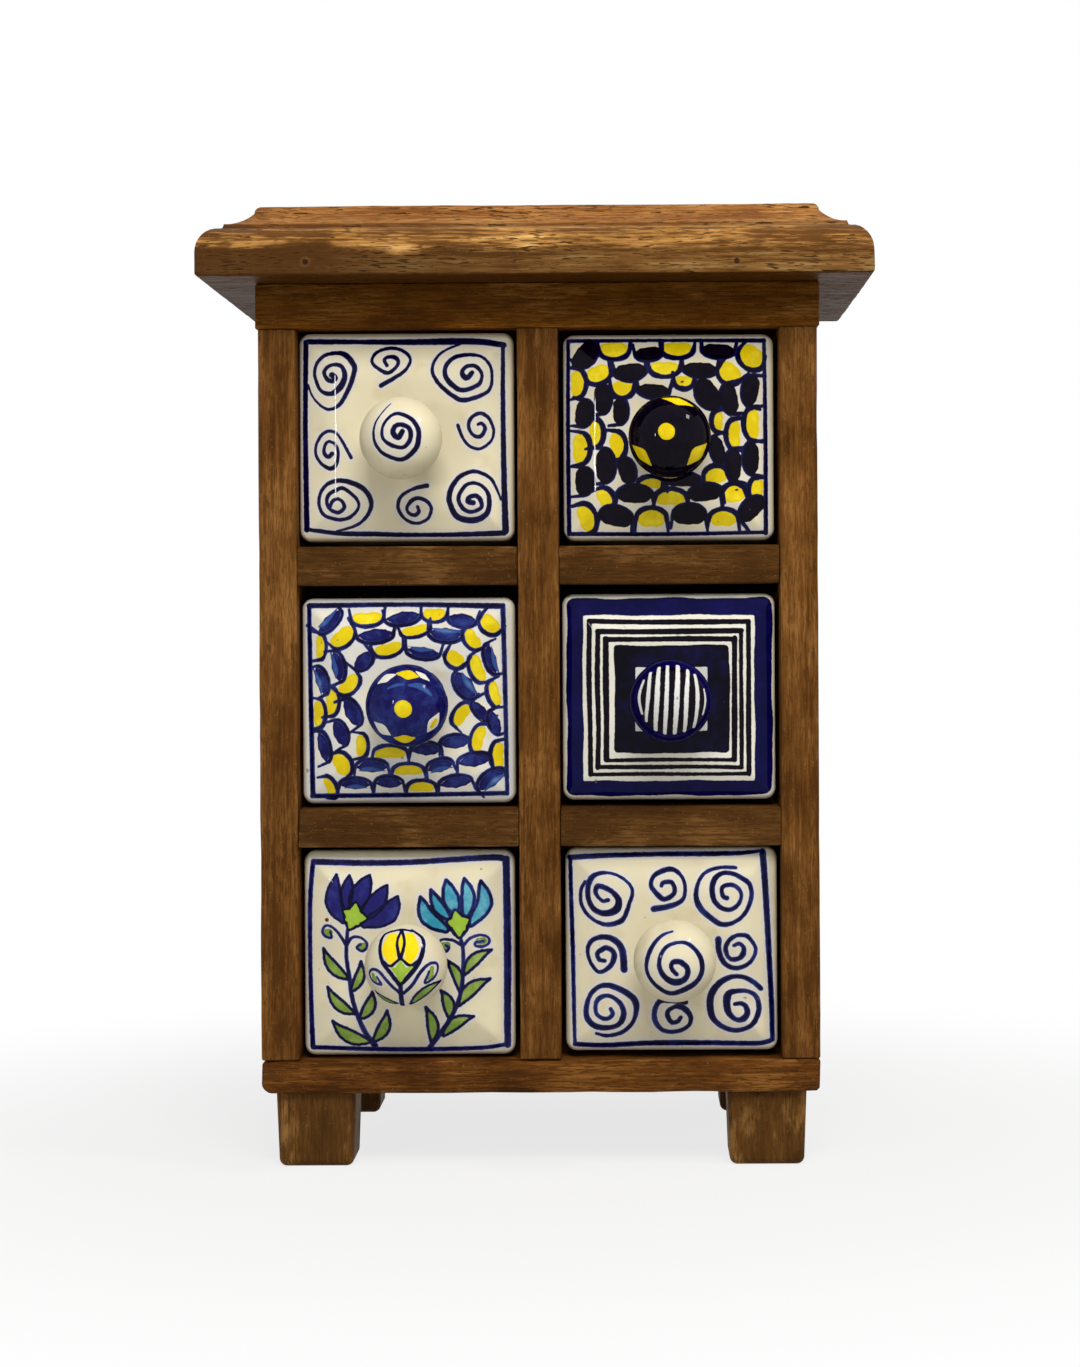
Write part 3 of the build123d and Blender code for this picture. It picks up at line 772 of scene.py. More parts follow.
def spirals_fine(brush):
    """Eight thin dark spirals, large in the corners and small between, inside a ruled border."""
    outline(
        brush, "ink",
        [(-29.5, 28.9), (-20, 28.8), (0, 28.6), (20, 28.7), (29.5, 27.6)],
        [(29.3, 27.6), (29.2, 16), (29.25, 0), (29.5, -17), (29.8, -28.5)],
        [(-29.8, -27.8), (-20, -29.0), (-10, -29.2), (0, -29.5), (15, -29.5), (29.3, -29.1)],
        [(-30.2, 28.8), (-30.4, 15), (-30.5, 0), (-30.2, -27.8)],
        ((1.5, 1.3, 1.8, 1.5), (1.0, 1.2, 1.4, 1.7), (1.0, 1.3, 1.1, 1.4), (1.4, 1.3, 1.5)),
    )
    for points, widths in (
        ([(-22.1, 18.6), (-21.1, 17.9), (-21.1, 17.2), (-22.2, 16.7), (-23.6, 17.4), (-24.5, 19.5), (-23.2, 21.1),
          (-20.9, 21.7), (-19.0, 20.9), (-18.2, 19.0), (-18.4, 16.8), (-20.1, 14.2), (-22.6, 12.9), (-25.3, 13.8),
          (-26.8, 16.3), (-27.5, 19.7), (-26.5, 22.6), (-24.0, 24.7), (-20.5, 25.3), (-18.2, 24.7), (-16.3, 22.8),
          (-15.2, 20.5), (-16.1, 16.5), (-17.6, 13.0), (-19.9, 9.5), (-22.8, 8.2), (-25.7, 9.5), (-28.2, 12.4),
          (-29.6, 15.9)], (1.5, 1.2, 1.1, 1.0, 1.2, 1.7, 1.0, 0.9, 1.0, 1.5, 1.3, 1.1, 0.7, 0.5)),
        ([(-5.5, 21.3), (-6.3, 22.8), (-5.7, 23.8), (-3.8, 24.0), (-2.4, 23.2), (-2.1, 22.0), (-3.2, 20.3),
          (-5.3, 19.0), (-8.0, 20.3), (-9.9, 22.2), (-9.5, 24.5), (-7.4, 26.1), (-4.0, 26.7), (-0.9, 25.9),
          (1.2, 24.0), (1.4, 22.2), (0.1, 19.9), (-2.4, 18.0), (-7.2, 15.2)],
         (1.0, 0.9, 1.2, 0.9, 1.1, 0.8, 0.9, 1.0, 0.8, 0.9, 1.2)),
        ([(20.1, 19.0), (18.7, 17.4), (17.5, 18.0), (17.2, 19.5), (18.5, 20.9), (20.8, 21.1), (22.6, 19.5),
          (23.0, 17.6), (21.8, 15.3), (17.6, 13.7), (14.9, 14.7), (12.4, 17.4), (12.0, 20.3), (13.5, 22.8),
          (16.2, 24.2), (20.1, 24.5), (23.2, 23.7), (25.5, 21.1), (26.0, 17.6), (25.3, 14.2), (22.8, 12.2),
          (17.6, 10.7), (14.1, 12.2), (10.3, 15.5), (8.2, 19.2), (8.7, 22.4), (10.7, 25.1), (14.1, 27.0),
          (17.0, 28.1)], (1.2, 1.5, 1.0, 1.1, 0.9, 1.2, 1.4, 1.1, 1.2, 0.8, 0.8, 0.9, 1.3, 1.1, 0.9, 0.7, 0.6)),
        ([(21.8, 3.4), (22.8, 3.8), (23.9, 2.4), (23.0, 0.3), (21.6, -0.3), (19.9, 0.7), (19.0, 3.0), (19.7, 5.3),
          (22.2, 6.8), (24.5, 5.9), (26.0, 3.4), (26.4, 0.9), (25.5, -1.6), (23.0, -3.6), (20.8, -3.8),
          (18.5, -2.4), (16.8, 0.3), (15.8, 3.2)], (0.8, 1.0, 1.1, 0.9, 1.0, 1.0, 0.8, 0.7, 0.9, 0.8, 0.9)),
        ([(20.2, -20.1), (18.7, -19.7), (18.9, -18.6), (20.8, -17.9), (22.2, -18.9), (22.8, -21.0), (21.6, -22.2),
          (19.1, -22.8), (17.0, -21.6), (15.8, -18.9), (17.0, -16.0), (19.1, -14.3), (22.0, -14.5), (24.3, -16.6),
          (25.0, -19.1), (24.5, -22.8), (22.4, -24.7), (19.1, -25.3), (15.5, -24.3), (13.7, -21.6), (13.0, -18.5),
          (14.1, -14.9), (16.4, -12.2), (19.9, -10.7), (22.8, -11.2), (25.5, -12.8), (27.2, -15.8),
          (28.4, -19.1)], (1.4, 1.2, 1.2, 1.0, 1.1, 1.0, 0.9, 1.3, 1.6, 1.5, 1.3, 1.1, 0.9, 0.5)),
        ([(3.5, -21.2), (3.8, -22.8), (2.4, -23.7), (0.8, -23.0), (0.3, -21.4), (1.6, -19.5), (3.7, -18.6),
          (6.2, -19.5), (7.6, -21.6), (6.8, -24.3), (4.5, -25.8), (2.0, -26.0), (-0.7, -24.5), (-2.3, -21.6),
          (-1.8, -18.7), (0.3, -16.8), (3.3, -15.5), (6.4, -14.9)],
         (0.9, 1.0, 0.8, 1.1, 1.0, 0.9, 0.8, 0.9, 1.0, 0.8, 1.3)),
        ([(-22.8, -20.8), (-22.0, -19.3), (-20.5, -18.7), (-19.0, -19.7), (-18.6, -21.4), (-20.5, -22.8),
          (-22.8, -21.8), (-23.9, -19.7), (-23.2, -17.4), (-20.9, -16.1), (-19.0, -15.5), (-16.3, -17.2),
          (-14.2, -19.9), (-14.9, -22.4), (-17.6, -24.5), (-20.9, -24.8), (-24.7, -23.5), (-26.3, -20.3),
          (-25.7, -16.6), (-23.4, -14.1), (-19.9, -13.2), (-16.3, -13.9), (-12.6, -15.8), (-10.5, -19.1),
          (-10.9, -22.4), (-13.4, -25.5), (-16.8, -27.2), (-21.1, -28.3)],
         (1.0, 0.9, 1.0, 0.9, 1.1, 1.0, 0.8, 1.0, 0.9, 1.0, 1.3, 1.3, 0.9, 0.6)),
        ([(-22.1, -5.1), (-23.4, -6.0), (-24.6, -4.7), (-24.3, -2.4), (-23.0, -1.4), (-21.1, -2.4), (-20.3, -4.5),
          (-20.5, -7.4), (-21.5, -9.1), (-23.0, -9.5), (-25.5, -8.0), (-27.2, -5.3), (-27.1, -2.4), (-25.5, 0.5),
          (-23.2, 1.7), (-20.9, 1.1), (-19.0, -1.4), (-16.3, -6.4)],
         (1.2, 1.1, 0.8, 0.8, 0.9, 1.2, 0.8, 0.8, 0.9, 0.7, 0.9)),
    ):
        brush.stroke("ink", points, widths)


def spirals_bold(brush):
    """The same eight spirals in a fuller, bluer brush, with blunt ends."""
    outline(
        brush, "navy",
        [(-30.6, 27.8), (-20.5, 28.3), (-8, 28.6), (0, 28.7), (12.8, 28.7), (21.2, 28.9), (27.2, 29.5)],
        [(27.6, 29.2), (28.2, 20.5), (28.9, 8), (29.5, -4.5), (30.1, -17), (30.3, -27.4)],
        [(-29.2, -28.5), (-20.5, -28.9), (-8, -28.3), (0, -28.2), (12.8, -28.3), (25.3, -28.5), (29.5, -27.8)],
        [(-30.4, 27.6), (-30.2, 16.3), (-29.75, -0.3), (-29.5, -17), (-29.3, -27.8)],
        ((1.3, 1.1, 1.2, 0.8), (1.6, 1.4, 1.2), (1.2, 1.4, 1.2), (1.0, 1.1, 0.9)),
    )
    for points, widths in (
        ([(-19.0, 15.3), (-20.5, 15.0), (-22.0, 16.1), (-22.8, 17.8), (-22.1, 19.3), (-20.1, 19.0), (-17.6, 17.6),
          (-15.9, 15.3), (-16.3, 12.8), (-18.4, 11.5), (-21.1, 11.4), (-23.6, 12.8), (-24.9, 15.5), (-25.1, 18.8),
          (-24.0, 21.8), (-21.8, 23.1), (-18.4, 23.2), (-15.1, 22.0), (-12.4, 19.7), (-11.7, 17.4), (-12.6, 14.3),
          (-13.8, 10.9), (-15.5, 8.8), (-19.5, 7.9), (-23.0, 9.0), (-25.7, 11.3), (-27.2, 14.3), (-27.2, 18.0),
          (-26.0, 20.5)], (1.0, 0.9, 1.4, 1.2, 1.9, 1.4, 1.2, 1.4, 0.7, 0.8, 1.0, 1.3, 0.9, 0.9, 0.9)),
        ([(-3.0, 19.5), (-2.4, 20.4), (-0.1, 20.5), (1.0, 18.6), (0.5, 16.8), (-2.2, 15.5), (-4.3, 17.0),
          (-6.1, 19.5), (-5.5, 22.0), (-3.2, 23.6), (0.0, 24.3), (2.4, 23.0), (3.9, 20.5), (4.1, 17.6),
          (3.3, 15.3), (0.8, 13.8), (-2.4, 13.0), (-5.3, 12.6)],
         (1.0, 1.1, 1.1, 1.3, 1.0, 1.3, 0.9, 0.9, 1.3, 1.5)),
        ([(16.6, 15.7), (15.5, 16.3), (15.1, 18.4), (16.2, 19.5), (18.7, 19.5), (20.5, 18.0), (21.0, 15.9),
          (19.9, 13.6), (17.6, 12.2), (14.9, 12.8), (12.8, 15.1), (12.2, 18.4), (13.0, 21.3), (15.3, 23.0),
          (18.7, 22.8), (21.6, 21.3), (23.5, 19.7), (24.1, 16.3), (23.0, 12.6), (20.8, 9.7), (17.6, 8.0),
          (14.5, 8.0), (11.2, 10.3), (8.5, 13.0), (7.4, 16.3), (8.0, 20.1), (9.9, 23.0), (12.8, 24.3),
          (16.2, 24.8), (19.5, 24.6)],
         (1.2, 1.0, 1.1, 0.9, 1.1, 1.2, 1.4, 1.0, 1.2, 1.1, 1.0, 1.3, 1.5, 0.9, 0.9, 0.8)),
        ([(18.7, 1.5), (20.3, 2.0), (21.6, 0.7), (21.4, -1.2), (20.1, -2.4), (17.8, -2.6), (16.6, -1.2), (16.2, 1.1),
          (17.6, 3.4), (19.7, 4.5), (22.4, 4.3), (24.1, 2.6), (25.3, 0.3), (24.7, -2.2), (22.8, -4.3),
          (19.7, -5.3), (17.0, -4.7), (15.1, -2.8), (14.1, 0.1), (14.0, 3.4)],
         (0.9, 1.0, 1.4, 1.2, 1.0, 1.2, 1.0, 1.1, 0.9, 1.0, 1.1, 1.2, 1.3, 1.5)),
        ([(18.9, -16.1), (20.8, -16.0), (22.2, -17.0), (22.6, -19.1), (21.2, -20.8), (19.1, -20.8), (17.0, -18.7),
          (16.4, -15.8), (17.0, -13.0), (19.5, -12.2), (22.8, -12.4), (25.3, -14.1), (26.2, -17.4), (25.3, -20.8),
          (23.2, -23.2), (19.5, -24.3), (16.0, -23.5), (12.6, -20.8), (11.4, -17.0), (11.8, -13.2), (14.1, -9.9),
          (17.6, -8.0), (21.2, -8.0), (24.5, -9.7), (26.8, -11.8)],
         (1.0, 1.1, 1.4, 1.6, 1.2, 1.6, 1.9, 1.2, 1.0, 1.2, 1.4, 1.2, 1.2, 1.3, 1.6, 1.7, 1.5, 1.1, 1.2, 1.2)),
        ([(2.6, -20.1), (1.6, -21.4), (-0.1, -21.6), (-1.3, -19.7), (-1.1, -18.0), (1.2, -16.8), (3.7, -17.4),
          (5.5, -19.7), (5.3, -22.2), (3.3, -23.9), (0.3, -24.7), (-2.8, -24.1), (-4.9, -21.6), (-5.3, -18.5),
          (-4.3, -15.8), (-2.6, -14.7), (0.3, -14.9), (4.1, -15.5)],
         (1.0, 1.2, 1.2, 1.0, 1.5, 1.0, 1.1, 1.1, 1.3, 1.2, 1.6, 1.2)),
        ([(-18.4, -17.4), (-17.8, -18.9), (-19.0, -20.3), (-20.9, -20.3), (-22.8, -18.7), (-22.8, -15.8),
          (-21.3, -13.9), (-19.0, -13.5), (-16.3, -14.9), (-14.7, -17.4), (-14.7, -20.1), (-16.3, -22.4),
          (-19.7, -23.3), (-23.4, -22.6), (-25.5, -20.3), (-25.7, -17.0), (-24.5, -13.3), (-22.2, -11.0),
          (-19.3, -10.3), (-15.9, -11.4), (-13.0, -13.0), (-11.1, -14.9), (-10.7, -17.8), (-11.8, -21.6),
          (-14.3, -24.3), (-17.2, -25.5), (-20.1, -25.8), (-22.8, -25.1)],
         (1.0, 1.1, 1.1, 1.0, 1.2, 1.0, 1.2, 1.5, 1.2, 1.5, 1.4, 1.1, 1.1, 1.4, 1.5, 1.6, 1.0, 1.1, 1.0, 0.8)),
        ([(-20.1, -3.0), (-21.8, -2.6), (-22.3, -0.8), (-21.1, 0.3), (-19.7, 0.9), (-17.8, 0.1), (-17.3, -2.0),
          (-18.6, -4.7), (-21.8, -6.4), (-24.0, -4.3), (-25.1, -1.6), (-25.1, 1.1), (-23.4, 3.4), (-20.1, 4.2),
          (-17.0, 3.2), (-15.1, 0.9), (-14.5, -2.0), (-14.3, -5.5)],
         (1.0, 1.1, 1.3, 1.2, 1.4, 1.0, 0.9, 1.0, 1.2, 1.5, 1.6, 1.7)),
    ):
        brush.stroke("navy", points, widths)


def scale(brush, layer, line, facing, across, up, length, width, lean, rim):
    """One fish scale: a brushed dab that leans by an angle, held in a brushed U that opens away from where it faces."""
    turn = math.radians(lean)
    along = np.array((math.cos(turn), math.sin(turn)))
    out = np.array((-along[1], along[0]))
    if out @ np.array(FACING[facing]) < 0:
        out = -out
    middle = np.array((across, up))
    bright = layer == "yellow"
    reach = (length - width * 0.50) / 2 if bright else length * 0.52
    bow = out * min(width, 4.0) * (0.12 if bright else 0.07)
    body = [middle - along * reach - bow, middle + bow, middle + along * reach - bow]
    full = width * brush.chance.uniform(1.04, 1.14)
    tips = (0.56, 0.94, 1.0, 0.96, 0.52) if bright else (0.06, 0.66, 1.0, 0.74, 0.06)
    if layer == "coal":
        tips = (0.20, 0.84, 1.0, 0.88, 0.16)
    brush.stroke(layer, body, [full * share for share in tips])
    if layer == "blue" and brush.chance.uniform() < 0.5:
        watery = [point - out * width * 0.26 + along * length * brush.chance.uniform(-0.15, 0.15) for point in body]
        brush.stroke("wash", watery, (width * 0.05, width * 0.28, width * 0.42, width * 0.26, width * 0.05))
    gap = 0.6 if bright else 0.4
    side, drop = along * (length / 2 + gap), out * (width / 2 + gap)
    arc = [middle + side * math.cos(t) + drop * math.sin(t) for t in np.radians((0, 28, 58, 90, 122, 152, 180))]
    arc.insert(0, middle + side * 1.10 - out * (width / 2 + 1.1))
    arc.append(middle - side * 1.10 - out * (width / 2 + 1.1))
    thick = brush.chance.uniform(0.8, 1.15, 7) * rim
    thick[[0, -1]] *= 0.6
    brush.stroke(line, np.clip(arc, -INSIDE_BORDER, INSIDE_BORDER), thick)


def scales_dark(brush):
    """Scales in yellow and near-black blue, three rows deep on every side."""
    outline(
        brush, "ink",
        [(-29.7, 29.2), (0, 29.2), (29.0, 29.0)], [(28.9, 29.2), (29.2, 0), (29.2, -29.0)],
        [(-30.0, -29.0), (0, -29.2), (29.2, -28.8)], [(-30.1, 29.2), (-30.3, 0), (-30.1, -29.0)],
        ((1.1, 0.9, 1.2), (1.0, 1.2), (1.1, 1.0), (1.0, 1.2)),
    )
    for facing, dark, dabs in (
        ("down", "yellow", ((-16.3, 26.3, 8, 4.8, 0), (2.8, 26.4, 8.6, 4.4, 0), (-21.1, 19.0, 6.8, 5.2, 20),
                            (-1.1, 20.5, 8, 4.0, 0), (-13.8, 14.5, 5.8, 4.6, 0), (4.7, 16.5, 5.0, 3.4, 0))),
        ("down_left", "yellow", ((25.1, 24.0, 7.6, 6.6, -40), (18.3, 19.0, 6.5, 5.6, -45))),
        ("down", "coal", ((-5.9, 25.3, 7.4, 3.8, 5), (15.1, 26.1, 9, 4.0, -5), (-11.5, 19.7, 8.5, 4.8, 5),
                          (9.5, 20.3, 9.3, 4.2, -3), (-4.5, 14.0, 8.8, 3.9, -5), (-25.1, 24.9, 8.3, 5.6, 50))),
        ("down_left", "coal", ((12.0, 12.6, 8.5, 6.4, -60),)),
        ("left", "coal", ((18.5, 11.3, 8.5, 4.8, -80), (25.1, 13.8, 8.5, 4.6, 80), (14.9, -4.1, 7.8, 4.0, -75),
                          (19.7, -8.7, 9, 4.4, 90), (25.1, -6.6, 9, 4.6, 90))),
        ("left", "yellow", ((14.9, 4.5, 5.5, 3.0, 90), (19.7, 0.5, 8, 3.9, 90), (25.3, 3.8, 8.7, 4.4, 90),
                            (26.6, -15.8, 6, 4.2, 80))),
        ("right", "yellow", ((-27.4, 16.3, 7.5, 4.2, 90), (-22.0, 1.1, 7.3, 3.8, 90), (-26.5, -3.3, 8.5, 4.7, 90),
                             (-15.7, -2.8, 7.7, 4.6, 90))),
        ("right", "coal", ((-20.1, 11.3, 8, 5.0, 90), (-25.7, 7.2, 7, 5.0, 80), (-14.8, 7.6, 7, 4.3, 90),
                           (-19.3, -8.7, 9.4, 5.4, 90), (-13.0, -10.3, 7, 4.8, -70), (-25.7, -13.3, 7.5, 5.0, 90))),
        ("up_right", "yellow", ((-19.3, -18.5, 5.8, 4.2, -60), (-24.9, -24.3, 8.0, 4.8, -70))),
        ("up", "coal", ((-15.9, -24.1, 9.0, 5.6, -10), (-10.3, -17.6, 9.8, 5.0, 0), (3.7, -13.3, 10, 3.9, 0),
                        (6.0, -23.7, 9.0, 5.6, 0), (10.8, -17.2, 9.3, 5.0, 8), (25.0, -22.0, 8.5, 5.2, 45))),
        ("up", "yellow", ((-5.1, -14.1, 7.3, 3.1, 0), (-5.3, -24.5, 8.0, 5.2, 0), (0.5, -18.5, 8.3, 4.4, 0),
                          (14.1, -11.8, 6.3, 4.8, 10), (16.4, -24.7, 7.6, 4.6, 0), (19.5, -17.4, 6.2, 5.2, 10))),
    ):
        for across, up, length, width, lean in dabs:
            scale(brush, dark, "ink", facing, across, up, length, width, lean, 1.4)
    for speck in ((3.9, 16.3), (20.1, -16.2)):
        brush.stroke("rust", [speck, (speck[0] + 0.5, speck[1] + 0.1)], (0.7, 0.7))


def scales_blue(brush):
    """Looser scales in yellow and watery blue that leave a white middle."""
    outline(
        brush, "navy",
        [(-29.9, 28.8), (0, 29.0), (28.3, 28.4)], [(28.6, 28.6), (29.2, 0), (29.6, -28.2)],
        [(-29.2, -28.6), (0, -28.4), (29.4, -28.0)], [(-29.9, 28.8), (-29.5, 0), (-29.0, -28.4)],
        ((1.3, 1.1, 1.4), (1.2, 1.0), (1.2, 1.1), (1.1, 1.3)),
    )
    brush.stroke("navy", [(-30.5, 22.8), (-28.4, 21.2), (-26.1, 20.5)], (0.9, 0.7))
    for facing, tone, dabs in (
        ("down_right", "blue", ((-23.6, 24.0, 8.8, 3.8, 45), (-13.4, 12.2, 6.3, 4.3, 45))),
        ("down", "blue", ((-1.5, 25.1, 10, 3.9, 8), (16.4, 24.5, 8, 3.9, -8), (-9.7, 19.9, 10.3, 4.1, 4),
                          (11.4, 20.1, 9.5, 4.2, -5), (4.7, 14.7, 9.5, 3.5, -8))),
        ("down", "yellow", ((-12.2, 24.9, 8.7, 3.7, 3), (8.0, 26.1, 6.5, 3.7, 0), (2.4, 21.3, 8, 3.0, 12),
                            (-5.7, 15.7, 8, 3.6, 14), (-19.5, 19.3, 7.5, 4.6, 40))),
        ("down_left", "yellow", ((24.7, 23.0, 6.3, 4.6, -45), (19.5, 18.6, 6.5, 3.9, -55),
                                 (14.3, 12.6, 5.5, 4.2, -35))),
        ("right", "yellow", ((-26.5, 16.5, 6.8, 2.7, 90), (-17.6, 5.1, 7, 4.2, 45), (-23.0, -0.1, 7.5, 3.7, 90),
                             (-27.0, -3.7, 7.5, 3.2, 90), (-14.0, -13.3, 6.3, 3.1, 90), (-19.9, -18.9, 6.8, 4.8, -60),
                             (-23.8, -25.9, 6, 2.8, -70))),
        ("right", "blue", ((-21.1, 10.5, 8.8, 3.9, -78), (-26.3, 6.3, 8.2, 3.8, -72), (-16.8, -3.3, 8.5, 4.3, -62),
                           (-20.5, -9.5, 7.5, 4.3, -68), (-25.7, -13.7, 9, 3.8, -75))),
        ("up", "blue", ((-16.1, -25.1, 8.7, 3.3, 0), (-10.9, -19.7, 9, 3.8, 0), (-5.9, -24.7, 7.7, 3.4, 0),
                        (5.5, -14.7, 8.5, 3.8, 0), (9.5, -19.7, 7.5, 3.8, 15), (14.1, -12.6, 8, 4.0, 5),
                        (14.1, -24.7, 9.4, 3.6, 8), (19.9, -18.0, 9.3, 3.8, 8), (24.7, -24.0, 9.0, 4.6, 38))),
        ("up", "yellow", ((-5.3, -15.5, 9.1, 3.4, 0), (0.1, -20.8, 8.3, 3.0, 0), (3.9, -26.0, 7.5, 3.1, 0))),
        ("left", "blue", ((17.2, 4.7, 9, 5.0, -55), (25.1, 12.6, 9, 3.4, -75), (22.0, -3.0, 7, 3.2, -50),
                          (26.2, -6.6, 7, 3.2, -70))),
        ("left", "yellow", ((21.0, 9.7, 8, 3.8, -70), (26.0, 2.0, 7.3, 3.1, -75), (16.2, -4.1, 7, 3.8, 55),
                            (21.2, -11.4, 7.8, 3.6, 75), (27.0, -16.6, 7.8, 3.6, 90))),
    ):
        for across, up, length, width, lean in dabs:
            scale(brush, tone, "navy", facing, across, up, length, width, lean, 1.05)


def squares(brush):
    """Blue bands and fine dark squares one inside the other."""
    brush.sheet("band", (0.2, 0.0), (31.0, 29.8), 2.6, 0.18)
    brush.sheet("white", (-0.05, -0.3), (25.8, 24.9), 0.4, 0.14)
    for left, right, bottom, top, widths in (
        (-23.75, 23.9, -23.2, 22.6, (1.3, 1.3, 1.0, 1.3)),
        (-21.3, 21.7, -21.0, 19.75, (1.4, 1.1, 1.1, 1.3)),
        (-18.9, 19.6, -18.8, 17.5, (1.3, 1.4, 1.0, 1.5)),
    ):
        corners = [(left, top), (right, top), (right, bottom), (left, bottom)]
        for index, width in enumerate(widths):
            start, end = np.array(corners[index]), np.array(corners[(index + 1) % 4])
            line = [start + (end - start) * t + brush.chance.normal(0, 0.10, 2) for t in (0, 0.3, 0.65, 1)]
            brush.stroke("coal", line, (width * 1.25, width * 1.15, width * 1.35, width * 1.2))
    brush.sheet("centre", (0.9, -0.6), (17.3, 16.2), 1.2, 0.14)
    brush.sheet("chalk", (0.65, -0.6), (10.8, 9.6), 0.3, 0.10)


def leaf(brush, start, tip, width):
    """A leaf: a green shape between two points, pointed at its tip, with its edge drawn in ink."""
    start, tip = np.array(start, float), np.array(tip, float)
    run = tip - start
    side = np.array((-run[1], run[0])) * (0.12 if run[0] * start[0] > 0 else -0.12)
    middle = [start + run * t + side * math.sin(math.pi * t) for t in np.linspace(0, 1, 9)]
    swell = np.array((0.16, 0.52, 0.82, 0.98, 1.0, 0.88, 0.62, 0.30, 0.03))
    brush.shape("green", "ink", np.array(middle), swell * (width - LEAF_RIM) / 2, LEAF_RIM)


def petal(brush, tip, belly, base, width, layer, line, rim):
    """A petal that swells at its belly and runs out to a drawn tip."""
    path = smooth_line([base, belly, tip], 7)
    swell = np.interp(np.linspace(0, 1, len(path)), (0, 0.25, 0.5, 0.75, 0.93, 1), (0.4, 0.86, 1.0, 0.70, 0.24, 0.05))
    brush.shape(layer, line, path, swell * (width - rim) / 2, rim)


def calyx(brush, points, line):
    """The green cup under a flower, filled from its middle out to its corners."""
    points = np.array(points, float)
    middle = points.mean(0)
    for point in points:
        brush.stroke("lime", [middle, (middle + point) / 2, point], (3.6, 2.6, 0.7))
        brush.stroke(line, [middle, (middle + point) / 2, point + (point - middle) * 0.06], (4.6, 3.7, 1.6))


